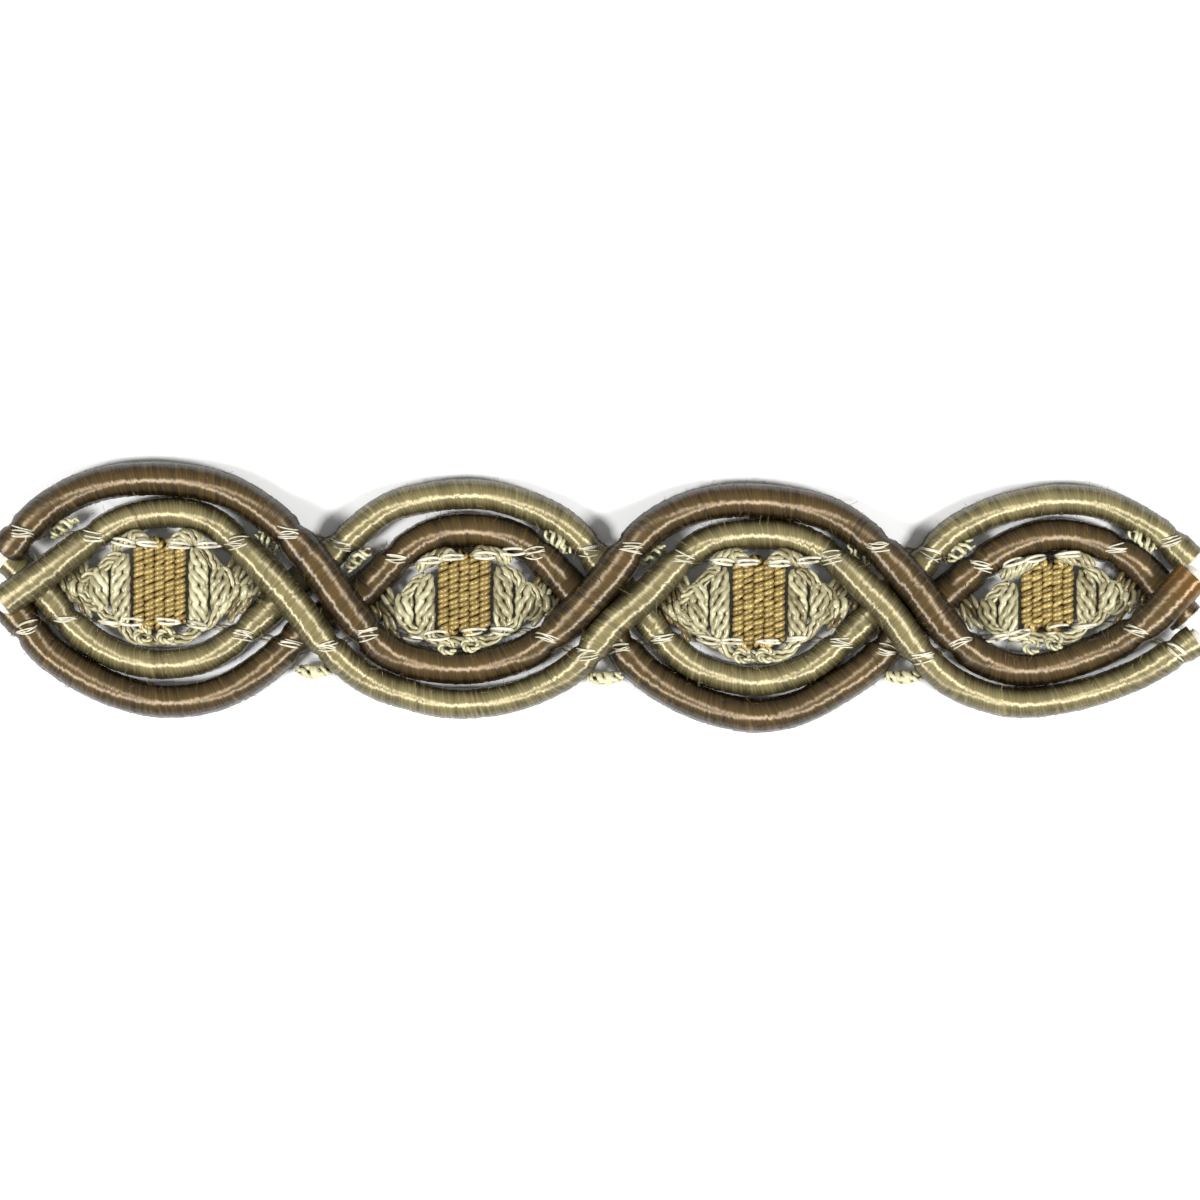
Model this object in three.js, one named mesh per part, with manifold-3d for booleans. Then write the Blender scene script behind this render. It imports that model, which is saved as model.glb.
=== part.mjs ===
// A cut length of gimp braid trim, 121 mm long and 27 mm wide, lying face up on its flat back.
// Two pairs of satin-wrapped gimp cords, one umber and one champagne cord in each, swing from edge to
// edge and cross between four eyes. The "over" pair passes on top of the "under" pair at every crossing.
// In each eye a cream yarn runs up and down in columns on both sides of a block of gold yarn, and two
// knitted chains run along the whole length, over and under every cord and yarn, and hold it together.
// Millimetres. X runs along the trim, Y across it, Z up from the surface it lies on.
import * as THREE from "three";
import { mergeVertices } from "three/addons/utils/BufferGeometryUtils.js";
import Module from "manifold-3d";

const wasm = await Module();
wasm.setup();

// Driving dimensions
const umberRadius = 1.55; // gimp cord, darker
const champagneRadius = 1.38; // gimp cord, paler
const creamRadius = 0.88; // cream yarn
const goldRadius = 0.44; // gold yarn
const clear = 0.3; // space between neighbouring pieces
const flattened = 0.8; // a cord's height where cords cross, as a share of its own
const widened = 1.06; // and its width there
const cordSides = 10;
const cordSteps = 68;
const planSamples = 600;
const slopeReach = 0.5; // a route's slope is read over this length to either side

// A knitted chain: its strands' section, the length of a step along it, and its legs' size and spacing
const chain = { width: 0.9, thickness: 0.36, step: 1.05, leg: 0.4, legApart: 3, legShift: 0.1 };
const restHeight = chain.thickness + clear; // underside of the yarns, above the chain's back strand
const legClear = chain.leg / 2 + clear;

// Yarns: "past" is how far a column runs past the middle of a chain, "turn" the length of its turn and
// "turned" its size there, as a share of its own. The cream yarn's columns stand to the left and right of
// the gold block, and "link" shapes its loop under the block
const cream = {
  lobe: 0.13,
  pitch: 6,
  step: 0.95,
  past: 1.1,
  turn: 0.62,
  turned: 0.5,
  level: 0.6,
  swell: 1.5,
  bow: 0.12,
  shortest: 0.4,
  link: { bow: 0.15, corner: 1.3 },
  columns: [-8.1, -5.95, -3.8, 3.8, 5.95, 8.1],
};
const creamMiddle = restHeight + creamRadius * (1 + cream.lobe);
const gold = { columns: 5, spacing: 1.02, step: 1.2, past: 0.35, turn: 0.4, high: 1.6 };
const upperLoop = { length: 2.0, radius: 0.48, bow: 0.05 };
const lowerLoop = { length: 2.4, radius: 0.68, bow: -0.2 };

const colours = { umber: 0x6d5433, champagne: 0xa59d70, cream: 0xd9d2b4, gold: 0xc39a4c, thread: 0xe0dac0 };
const finish = { umber: 0.38, champagne: 0.36, cream: 0.55, gold: 0.6, thread: 0.5 };
const materials = Object.fromEntries(
  Object.entries(colours).map(([name, color]) => [
    name,
    new THREE.MeshStandardMaterial({ name, color, roughness: finish[name], metalness: 0 }),
  ]),
);

// Routes in plan, columns x, y: the crest, the shoulders and the crossing of each swing, end to end
const routes = {
  umberOver: [
    [-59.6, 4.5], [-55.2, 9.2], [-50.2, 11.6], [-44, 12.2], [-38, 11.2], [-33.1, 8.4], [-28.8, 4.1],
    [-24.5, -1.8], [-20.5, -5.5], [-14, -6.75], [-8, -5.5], [-3.9, -2.7], [0.4, 1.7], [4.8, 6.9],
    [10, 9.5], [16, 10.0], [22.5, 8.8], [26.9, 6.0], [31.2, 1.6], [35.1, -3.4], [39, -6.1],
    [43.5, -6.9], [49.5, -5.3], [54.5, -2.4], [59.2, 2.4],
  ],
  champagneOver: [
    [-59.6, -0.2], [-55.5, 2.7], [-51.2, 6.0], [-47.5, 8.1], [-43.2, 8.8], [-39.2, 7.95], [-36, 5.4],
    [-32.8, 2.3], [-30, -1.0], [-27.4, -4.4], [-23.5, -7.8], [-19.5, -9.4], [-15, -10.35],
    [-10, -10.0], [-5.5, -8.5], [-2, -6.2], [1.2, -2.4], [4.6, 0.5], [8.3, 4.2], [11.5, 6.1], [16, 6.65],
    [20, 6.05], [23.5, 4.1], [26.5, 1.3], [29, -1.3], [31.5, -4.7], [34.8, -7.9], [39, -9.8],
    [43, -10.3], [48.5, -9.4], [53.5, -7.6], [57, -5.5], [59.4, -4.0],
  ],
  champagneUnder: [
    [-59.2, 4.1], [-55.4, 0.4], [-53.2, -2.2], [-50.5, -4.4], [-47.5, -5.8], [-43.8, -6.4],
    [-39.5, -5.7], [-36, -3.5], [-32.6, -0.5], [-29, 2.9], [-25.1, 6.3], [-21.4, 9.1],
    [-17.7, 10.2], [-13.8, 10.65],
    [-10, 10.3], [-5.5, 8.7], [-2.9, 7.0], [-0.8, 4.8], [2, 1.3], [4.6, -1.8], [6.8, -4.4],
    [10, -6.8], [15.5, -8.1], [20.5, -6.95], [23.7, -4.7], [26.6, -2.1], [30.8, 2.1], [34.9, 6.4],
    [38.6, 8.5], [42.3, 9.6], [46.2, 10.1], [50.5, 9.6], [54.5, 7.7], [57.2, 5.8], [59.2, 3.9],
  ],
  umberUnder: [
    [-59.4, -0.2], [-57.1, -3.0], [-55.1, -5.3], [-51.3, -7.8], [-47.5, -9.4], [-43.7, -10.1],
    [-39.5, -9.7], [-36, -8.3], [-33, -6.2], [-30, -3.5], [-26.5, -1.1], [-23.2, 1.4], [-20, 4.5], [-17, 6.4],
    [-13.5, 7.05], [-9.5, 6.5], [-6.5, 4.8], [-3.8, 2.1], [-0.8, -1.3], [2.2, -4.9], [5, -7.6],
    [8.7, -9.8], [12.4, -11.1], [16, -11.6], [20, -10.8], [24, -8.65], [27.2, -6.4], [31.3, -2.4],
    [35.5, 1.3], [39, 4.1], [42.5, 5.9], [46.2, 6.5], [50, 5.7], [53.5, 3.8], [56, 1.3], [58.8, -1.9],
  ],
  chainUpper: [
    [-59.3, 6.9], [-56, 6.6], [-51.5, 6.4], [-45, 5.5], [-36, 5.6], [-31, 6.5], [-25.5, 5.6],
    [-19, 4.0], [-13.5, 4.4], [-7, 4.8], [-1, 5.1], [4, 5.0], [9, 4.1], [15.5, 3.6], [22, 4.1],
    [27.5, 5.3], [33, 4.7],
    [38, 3.4], [45, 4.3], [52, 5.0], [56, 5.6], [59.2, 6.4],
  ],
  chainLower: [
    [-59.2, -3.4], [-54, -1.9], [-49, -2.2], [-42, -2.3], [-37, -3.0], [-32, -4.2], [-27.5, -4.7],
    [-23, -3.3], [-18, -3.7], [-12.5, -3.1], [-6.5, -3.4], [-2, -5.3], [3, -4.6], [7.5, -3.8],
    [14, -4.2], [21, -4.1],
    [28, -4.8], [32.2, -5.5], [37, -4.1], [42, -3.5], [47, -2.7], [52, -2.6], [56.5, -4.5], [59.2, -6.4],
  ],
};

// One row for each eye: the middle of its gold block, and the two cords that edge the eye
const eyes = [
  { x: -44.1, top: "champagneOver", bottom: "champagneUnder" },
  { x: -13.6, top: "umberUnder", bottom: "umberOver" },
  { x: 15.9, top: "champagneOver", bottom: "champagneUnder" },
  { x: 44.8, top: "umberUnder", bottom: "umberOver" },
];

// Loops of the cream yarn between the two cords of a pair, where the upper chain crosses them
const upperLoops = [
  { x: -53.6, outer: "umberOver", inner: "champagneOver" },
  { x: -33.2, outer: "umberOver", inner: "champagneOver" },
  { x: -24.2, outer: "champagneUnder", inner: "umberUnder" },
  { x: 5.3, outer: "umberOver", inner: "champagneOver" },
  { x: 26.0, outer: "umberOver", inner: "champagneOver" },
  { x: 36.2, outer: "champagneUnder", inner: "umberUnder" },
];
// The same yarn's loops in the notches of the lower edge
const lowerLoops = [
  { x: -28.6, y: -6.9 },
  { x: 0.5, y: -7.6 },
  { x: 30.4, y: -7.5 },
];

// A smooth line through a table's points
function planCurve(rows) {
  const points = rows.map(([x, y]) => new THREE.Vector3(x, y, 0));
  return new THREE.CatmullRomCurve3(points, false, "catmullrom", 0.5);
}

// The same line, read by its x, which always grows along it
class PlanRoute {
  constructor(rows) {
    this.samples = planCurve(rows).getSpacedPoints(planSamples);
    this.first = rows[0][0];
    this.last = rows.at(-1)[0];
  }
  locate(x) {
    const { samples } = this;
    let low = 0;
    let high = samples.length - 1;
    while (high - low > 1) {
      const middle = (low + high) >> 1;
      if (samples[middle].x > x) high = middle;
      else low = middle;
    }
    return low;
  }
  y(x) {
    const i = this.locate(x);
    const [a, b] = [this.samples[i], this.samples[i + 1]];
    return a.y + ((b.y - a.y) * (x - a.x)) / (b.x - a.x);
  }
  slope(x) {
    const low = Math.max(x - slopeReach, this.first);
    const high = Math.min(x + slopeReach, this.last);
    return (this.y(high) - this.y(low)) / (high - low);
  }
}

const plans = Object.fromEntries(Object.entries(routes).map(([name, rows]) => [name, new PlanRoute(rows)]));

// Every point in plan where two routes cross
function crossings(a, b) {
  const found = [];
  const step = 0.25;
  const start = Math.max(a.first, b.first);
  const end = Math.min(a.last, b.last);
  for (let x = start; x + step < end; x += step) {
    const [before, after] = [a.y(x) - b.y(x), a.y(x + step) - b.y(x + step)];
    if (before * after <= 0) {
      const at = x + (step * before) / (before - after);
      found.push(new THREE.Vector2(at, a.y(at)));
    }
  }
  return found;
}

const smooth = (t) => THREE.MathUtils.smoothstep(t, 0, 1);

// 1 over a crossing, easing to 0 along the cord: full within "flat" of it and gone past "flat" plus "ramp"
function nearCrossing(points, x, y, flat, ramp) {
  return Math.max(0, ...points.map((p) => smooth((flat + ramp - Math.hypot(x - p.x, y - p.y)) / ramp)));
}

const crossingFlat = 1.9;
const liftRamp = 6.6;
const squeezeRamp = 3.2;
const facetShare = Math.cos(Math.PI / cordSides); // from a cord's middle to its flat underside

// A gimp cord: its middle line in space and the half width and half height of its section anywhere along x
class Cord {
  constructor(name, radius, rivals, isOver) {
    this.plan = plans[name];
    this.radius = radius;
    this.isOver = isOver;
    // The trim is cut off through a crossing at both ends
    const ends = [this.plan.samples[0], this.plan.samples.at(-1)];
    this.points = [...ends, ...rivals.flatMap((rival) => crossings(this.plan, plans[rival]))];
  }
  squeeze(x) {
    return nearCrossing(this.points, x, this.plan.y(x), crossingFlat, squeezeRamp);
  }
  halfHeight(x) {
    return this.radius * (1 - (1 - flattened) * this.squeeze(x));
  }
  halfWidth(x) {
    return this.radius * (1 + (widened - 1) * this.squeeze(x));
  }
  middle(x) {
    const lift = this.isOver ? nearCrossing(this.points, x, this.plan.y(x), crossingFlat, liftRamp) : 0;
    const under = 2 * umberRadius * flattened * facetShare + clear;
    return this.halfHeight(x) * facetShare + lift * under;
  }
}

const cords = {
  umberOver: new Cord("umberOver", umberRadius, ["champagneUnder", "umberUnder"], true),
  champagneOver: new Cord("champagneOver", champagneRadius, ["champagneUnder", "umberUnder"], true),
  champagneUnder: new Cord("champagneUnder", champagneRadius, ["champagneOver", "umberOver"], false),
  umberUnder: new Cord("umberUnder", umberRadius, ["champagneOver", "umberOver"], false),
};

const upwards = new THREE.Vector3(0, 0, 1);
const acrossTrim = new THREE.Vector3(0, 1, 0);

// The places of a section along a line: "across" and "up" are square to the line, and sizeAt(share of the
// length, point, direction) may change the section's scale across and up, and its turn
function stationsOf(line, facing, sizeAt = () => ({})) {
  const curve = new THREE.CatmullRomCurve3(line, false, "centripetal");
  const steps = line.length - 1;
  return line.map((point, i) => {
    const along = curve.getTangent(i / steps);
    const across = new THREE.Vector3().crossVectors(facing, along).normalize();
    const up = new THREE.Vector3().crossVectors(along, across);
    return { point, across, up, wide: 1, high: 1, turn: 0, ...sizeAt(i / steps, point, along) };
  });
}

// A straight bar with the given section, bent so that it follows the stations
function bend(section, stations) {
  const steps = stations.length - 1;
  const bar = new THREE.ExtrudeGeometry(section, { depth: 1, steps, bevelEnabled: false, curveSegments: 1 });
  const place = bar.getAttribute("position");
  for (let i = 0; i < place.count; i++) {
    const { point, across, up, wide, high, turn } = stations[Math.round(place.getZ(i) * steps)];
    const [x, y] = [place.getX(i), place.getY(i)];
    const [u, v] = [x * Math.cos(turn) - y * Math.sin(turn), x * Math.sin(turn) + y * Math.cos(turn)];
    const moved = point.clone().addScaledVector(across, u * wide).addScaledVector(up, v * high);
    place.setXYZ(i, moved.x, moved.y, moved.z);
  }
  return solidOf(bar);
}

// A polygon with a flat side down; "lobe" pushes every other corner out and the rest in
function roundSection(radius, sides, lobe = 0) {
  const corners = Array.from({ length: sides }, (_, i) => {
    const angle = -Math.PI / 2 + ((i + 0.5) * 2 * Math.PI) / sides;
    const reach = radius * (1 + (i % 2 ? lobe : -lobe));
    return new THREE.Vector2(reach * Math.cos(angle), reach * Math.sin(angle));
  });
  return new THREE.Shape(corners);
}

function flatSection(width, thickness) {
  const [w, t] = [width / 2, thickness / 2];
  return new THREE.Shape([[-w, -t], [w, -t], [w, t], [-w, t]].map(([x, y]) => new THREE.Vector2(x, y)));
}

// A mesh's geometry as a solid, and back
function solidOf(geometry) {
  geometry.deleteAttribute("normal");
  geometry.deleteAttribute("uv");
  const merged = mergeVertices(geometry, 1e-4);
  return new wasm.Manifold(
    new wasm.Mesh({
      numProp: 3,
      vertProperties: new Float32Array(merged.getAttribute("position").array),
      triVerts: new Uint32Array(merged.index.array),
    }),
  );
}

function geometryOf(solid) {
  const { vertProperties, triVerts } = solid.getMesh();
  return new THREE.BufferGeometry()
    .setAttribute("position", new THREE.BufferAttribute(vertProperties, 3))
    .setIndex(new THREE.BufferAttribute(triVerts, 1));
}

function spacedLine(points, step) {
  const curve = new THREE.CatmullRomCurve3(points, false, "catmullrom", 0.5);
  return curve.getSpacedPoints(Math.max(2, Math.round(curve.getLength() / step)));
}

// The straight stretches of every strand that the chains lie over
const stretches = [];

function layStrand(section, stations, reach) {
  for (let i = 1; i < stations.length; i++) {
    const [a, b] = [stations[i - 1], stations[i]];
    const [wide, high] = [reach * Math.max(a.wide, b.wide), reach * Math.max(a.high, b.high)];
    stretches.push({ a: a.point, b: b.point, wide, high });
  }
  return bend(section, stations);
}

function stretchesNear(x, away) {
  return stretches.filter(({ a, b, wide }) =>
    Math.min(a.x, b.x) - wide < x + away && Math.max(a.x, b.x) + wide > x - away);
}

// The height of whatever lies at a place in plan, 0 on open ground
function topAt(near, x, y) {
  let top = 0;
  for (const { a, b, wide, high } of near) {
    const [dx, dy] = [b.x - a.x, b.y - a.y];
    const share = THREE.MathUtils.clamp(((x - a.x) * dx + (y - a.y) * dy) / (dx * dx + dy * dy), 0, 1);
    const edge = Math.hypot(x - a.x - share * dx, y - a.y - share * dy) / wide;
    if (edge >= 1) continue;
    const middle = THREE.MathUtils.lerp(a.z, b.z, share);
    top = Math.max(top, middle + high * Math.sqrt(1 - edge * edge));
  }
  return top;
}

// The greatest height within "alongBy" and "acrossBy" of a place in plan
function highest(x, y, alongBy, acrossBy) {
  const near = stretchesNear(x, alongBy);
  const alongShares = [-1, -0.75, -0.5, -0.25, 0, 0.25, 0.5, 0.75, 1];
  const acrossShares = [-1, -0.5, 0, 0.5, 1];
  const places = alongShares.flatMap((s) => acrossShares.map((t) => [x + s * alongBy, y + t * acrossBy]));
  return Math.max(...places.map(([px, py]) => topAt(near, px, py)));
}

// Gimp cords
function cordSolid(name) {
  const cord = cords[name];
  const plan = planCurve(routes[name]).getSpacedPoints(cordSteps);
  const line = plan.map(({ x, y }) => new THREE.Vector3(x, y, cord.middle(x)));
  const size = (_, { x }) => ({ wide: cord.halfWidth(x), high: cord.halfHeight(x) });
  return layStrand(roundSection(1, cordSides), stationsOf(line, upwards, size), 1);
}

// How high and how low a yarn may reach at x inside an eye, clear of the cords that edge it
function innerLimits(eye, x, halfSpan, yarnHalf) {
  const spots = [-1, -0.5, 0, 0.5, 1].map((share) => x + share * halfSpan);
  const limits = (name, side) =>
    spots.map((spot) => {
      const cord = cords[name];
      const tilt = Math.hypot(1, cord.plan.slope(spot));
      return cord.plan.y(spot) - side * (cord.halfWidth(spot) + clear + yarnHalf) * tilt;
    });
  return { top: Math.min(...limits(eye.top, 1)), bottom: Math.max(...limits(eye.bottom, -1)) };
}

// The height in plan of the cream yarn's loop under the gold block
function linkHeight(eye) {
  return innerLimits(eye, eye.x, (gold.columns * gold.spacing) / 2, creamRadius * cream.turned).bottom;
}

// How far the cream yarn's columns and turns reach at x inside an eye
function creamReach(eye, x, halfSpan) {
  const limits = innerLimits(eye, x, halfSpan, creamRadius * cream.turned);
  return {
    x,
    top: Math.min(limits.top, plans.chainUpper.y(x) + cream.past),
    bottom: Math.max(limits.bottom, plans.chainLower.y(x) - cream.past),
  };
}

// The cream yarn's columns, wherever the eye is high enough for one, each with the y of its two ends
function creamColumns(eye) {
  return cream.columns
    .map((offset) => creamReach(eye, eye.x + offset, creamRadius))
    .filter(({ top, bottom }) => top > bottom)
    .map(({ x, top, bottom }) => {
      const middle = (top + bottom) / 2;
      const high = Math.max(top - cream.turn, middle + cream.shortest / 2);
      const low = Math.min(bottom + cream.turn, middle - cream.shortest / 2);
      return { x, high, low };
    });
}

// The points of the turn between two columns, over them (side 1) or below them (side -1). Where one column
// is longer the turn is a half round at its end, and the yarn comes to its foot from the shorter column
function creamTurn(eye, a, b, side) {
  const [endA, endB] = side > 0 ? [a.high, b.high] : [a.low, b.low];
  const clamped = (x, y) => {
    const { top, bottom } = creamReach(eye, x, creamRadius * cream.turned);
    return [x, side > 0 ? Math.min(y, top) : Math.max(y, bottom)];
  };
  const longer = side * (endB - endA);
  if (Math.abs(longer) < cream.level)
    return [clamped((a.x + b.x) / 2, (endA + endB) / 2 + side * cream.turn)];
  const [long, end, inwards] = longer > 0 ? [b, endB, -1] : [a, endA, 1];
  const foot = clamped(long.x + inwards * 2 * cream.turn, end);
  const tip = clamped(long.x + inwards * cream.turn, end + side * cream.turn);
  return longer > 0 ? [foot, tip] : [tip, foot];
}

// Cream yarn: up and down in columns on both sides of the gold block, linked by a loop below the block.
// It is thick along the columns and thin in the turns
function creamStations(eye) {
  const columns = creamColumns(eye);
  const half = columns.filter(({ x }) => x < eye.x).length;
  const turns = [];
  const places = columns.flatMap((column, i) => {
    const { x, high, low } = column;
    const upwardsHere = (i - half) % 2 === 0;
    const line = [[x, low], [x + Math.sign(x - eye.x) * cream.bow, (high + low) / 2], [x, high]];
    if (!upwardsHere) line.reverse();
    if (i === columns.length - 1) return line;
    const next = columns[i + 1];
    let turn;
    if (i === half - 1) {
      const linkY = linkHeight(eye);
      const [left, right] = [x + cream.link.corner, next.x - cream.link.corner];
      turn = [[left, linkY + cream.link.bow], [eye.x, linkY], [right, linkY + cream.link.bow]];
    } else turn = creamTurn(eye, column, next, upwardsHere ? 1 : -1);
    turns.push(...turn);
    return [...line, ...turn];
  });
  const line = spacedLine(places.map(([x, y]) => new THREE.Vector3(x, y, creamMiddle)), cream.step);
  return stationsOf(line, upwards, (share, point) => {
    const away = Math.min(...turns.map(([x, y]) => Math.hypot(point.x - x, point.y - y)));
    const size = THREE.MathUtils.lerp(cream.turned, 1, smooth((away - cream.turn) / cream.swell));
    return { wide: size, high: size, turn: (share * (line.length - 1) * cream.step * 2 * Math.PI) / cream.pitch };
  });
}

function creamSolid(eye) {
  const reach = creamRadius * (1 + cream.lobe);
  return layStrand(roundSection(creamRadius, 6, cream.lobe), creamStations(eye), reach);
}

// Gold yarn: close columns between the chains, above the cream yarn's loop
function goldSolid(eye) {
  const half = (gold.columns - 1) / 2;
  const limit = innerLimits(eye, eye.x, half * gold.spacing + goldRadius, goldRadius).top;
  const top = Math.min(plans.chainUpper.y(eye.x) + gold.past, limit);
  const loopReach = creamRadius * (1 + cream.lobe) * cream.turned;
  const aboveLoop = linkHeight(eye) + cream.link.bow + loopReach + clear + goldRadius;
  const bottom = Math.max(plans.chainLower.y(eye.x) - gold.past, aboveLoop);
  const places = Array.from({ length: gold.columns }, (_, i) => {
    const x = eye.x + (i - half) * gold.spacing;
    const column = [[x, top - gold.turn], [x, (top + bottom) / 2], [x, bottom + gold.turn]];
    if (i % 2) column.reverse();
    return i === gold.columns - 1 ? column : [...column, [x + gold.spacing / 2, i % 2 ? top : bottom]];
  }).flat();
  const points = places.map(([x, y]) => new THREE.Vector3(x, y, restHeight + gold.high / 2));
  const size = () => ({ high: gold.high / 2 / goldRadius });
  const stations = stationsOf(spacedLine(points, gold.step), upwards, size);
  return layStrand(roundSection(goldRadius, 6), stations, goldRadius);
}

// A short loop of the cream yarn, bowed, lying on the ground; "slope" is its direction's rise
function loopSolid({ x, y }, slope, { length, radius, bow }) {
  const turn = Math.atan(slope);
  const line = [-1, -0.6, 0, 0.6, 1].map((share) => {
    const [along, off] = [(share * length) / 2, bow * (1 - share * share)];
    return new THREE.Vector3(
      x + along * Math.cos(turn) - off * Math.sin(turn),
      y + along * Math.sin(turn) + off * Math.cos(turn),
      restHeight + radius,
    );
  });
  const taper = (share) => 0.7 + 0.3 * Math.sin(Math.PI * share);
  const size = (share) => ({ wide: taper(share), high: taper(share), turn: share * Math.PI });
  const stations = stationsOf(spacedLine(line, 0.6), upwards, size);
  return layStrand(roundSection(radius, 6, cream.lobe), stations, radius * (1 + cream.lobe));
}

// Midway between the two cords that it shows between
function upperLoopSolid({ x, outer, inner }) {
  const [above, below] = [cords[outer], cords[inner]];
  const slope = (above.plan.slope(x) + below.plan.slope(x)) / 2;
  const tilt = Math.hypot(1, slope);
  const edges = above.plan.y(x) - above.halfWidth(x) * tilt + below.plan.y(x) + below.halfWidth(x) * tilt;
  return loopSolid({ x, y: edges / 2 }, slope, upperLoop);
}

// Knitted chain: a strand on the face, over every cord and yarn, one on the back, under them all, and the
// stitches' legs, which join the two wherever the ground between the cords is open
function chainSolid(name) {
  const plan = plans[name];
  const length = plan.last - plan.first;
  const count = Math.round(length / chain.step);
  const places = Array.from({ length: count + 1 }, (_, i) => plan.first + (length * i) / count);
  const halfClear = chain.width / 2 + clear;
  const face = places.map((x) => {
    const top = highest(x, plan.y(x), chain.step + clear, halfClear);
    return new THREE.Vector3(x, plan.y(x), top > 0 ? top + clear + chain.thickness / 2 : chain.thickness);
  });
  const back = places
    .filter((_, i) => i % 2 === 0 || i === count)
    .map((x) => new THREE.Vector3(x, plan.y(x), chain.thickness / 2));
  const strands = [
    bend(flatSection(chain.thickness, chain.width), stationsOf(face, acrossTrim)),
    bend(flatSection(chain.width, chain.thickness), stationsOf(back, upwards)),
  ];
  const heightAt = (x) => {
    const i = Math.min(Math.floor(((x - plan.first) / length) * count), count - 1);
    return THREE.MathUtils.mapLinear(x, face[i].x, face[i + 1].x, face[i].z, face[i + 1].z);
  };
  let lastLeg = -Infinity;
  for (let x = plan.first; x < plan.last; x += chain.legShift)
    for (const shifts of [0, -1, 1, -2, 2, -3, 3]) {
      const y = plan.y(x) + shifts * chain.legShift;
      if (x - lastLeg < chain.legApart || highest(x, y, legClear, legClear) > 0) continue;
      const leg = new THREE.BoxGeometry(chain.leg, chain.leg, heightAt(x) - chain.thickness / 2);
      leg.translate(x, y, (heightAt(x) + chain.thickness / 2) / 2);
      strands.push(solidOf(leg));
      lastLeg = x;
    }
  return strands.reduce((joined, strand) => joined.add(strand));
}

// The channel that a chain's back strand presses into the cords above it
function channelSolid(name) {
  const rows = routes[name].map(([x, y]) => new THREE.Vector3(x, y, 0));
  return bend(flatSection(chain.width + 2 * clear, 2 * restHeight), stationsOf(spacedLine(rows, 2), upwards));
}

const trim = new THREE.Group();

function addPiece(name, solid, material) {
  const mesh = new THREE.Mesh(geometryOf(solid), material);
  mesh.name = name;
  trim.add(mesh);
}

const channels = ["chainUpper", "chainLower"].map(channelSolid);
const cordPieces = [
  ["cord_umber_over", "umberOver", materials.umber],
  ["cord_champagne_over", "champagneOver", materials.champagne],
  ["cord_champagne_under", "champagneUnder", materials.champagne],
  ["cord_umber_under", "umberUnder", materials.umber],
];
for (const [name, route, material] of cordPieces)
  addPiece(name, channels.reduce((solid, channel) => solid.subtract(channel), cordSolid(route)), material);
eyes.forEach((eye, i) => {
  addPiece(`cream_yarn_${i + 1}`, creamSolid(eye), materials.cream);
  addPiece(`gold_yarn_${i + 1}`, goldSolid(eye), materials.gold);
});
upperLoops.forEach((row, i) => addPiece(`loop_upper_${i + 1}`, upperLoopSolid(row), materials.cream));
lowerLoops.forEach((row, i) => {
  addPiece(`loop_lower_${i + 1}`, loopSolid(row, 0, lowerLoop), materials.cream);
});
addPiece("chain_upper", chainSolid("chainUpper"), materials.thread);
addPiece("chain_lower", chainSolid("chainLower"), materials.thread);

// The origin is at the middle of the trim's underside
const box = new THREE.Box3().setFromObject(trim);
const middle = box.getCenter(new THREE.Vector3());
trim.position.set(-middle.x, -middle.y, -box.min.z);

export default trim;
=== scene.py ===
import math

import bpy
import numpy as np
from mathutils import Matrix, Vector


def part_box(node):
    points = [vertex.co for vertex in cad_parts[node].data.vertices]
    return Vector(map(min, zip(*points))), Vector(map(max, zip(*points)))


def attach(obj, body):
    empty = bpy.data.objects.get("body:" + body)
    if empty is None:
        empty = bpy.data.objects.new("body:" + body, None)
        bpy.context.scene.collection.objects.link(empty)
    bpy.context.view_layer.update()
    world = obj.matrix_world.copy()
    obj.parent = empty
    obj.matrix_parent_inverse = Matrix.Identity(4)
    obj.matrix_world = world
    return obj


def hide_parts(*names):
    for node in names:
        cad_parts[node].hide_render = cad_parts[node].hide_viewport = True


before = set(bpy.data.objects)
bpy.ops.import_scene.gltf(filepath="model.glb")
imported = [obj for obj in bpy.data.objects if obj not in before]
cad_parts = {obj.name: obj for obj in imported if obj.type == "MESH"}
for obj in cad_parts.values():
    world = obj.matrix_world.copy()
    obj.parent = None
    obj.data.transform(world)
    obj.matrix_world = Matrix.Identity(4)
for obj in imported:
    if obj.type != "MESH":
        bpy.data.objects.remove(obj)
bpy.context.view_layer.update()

# A cut length of gimp braid: four satin-wrapped cords around four eyes of cream and gold yarn.
# Every table here is in millimetres and becomes metres where a mesh is made.
# X runs along the trim, Y across it, Z up from the surface it lies on.
metres = 0.001

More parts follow.
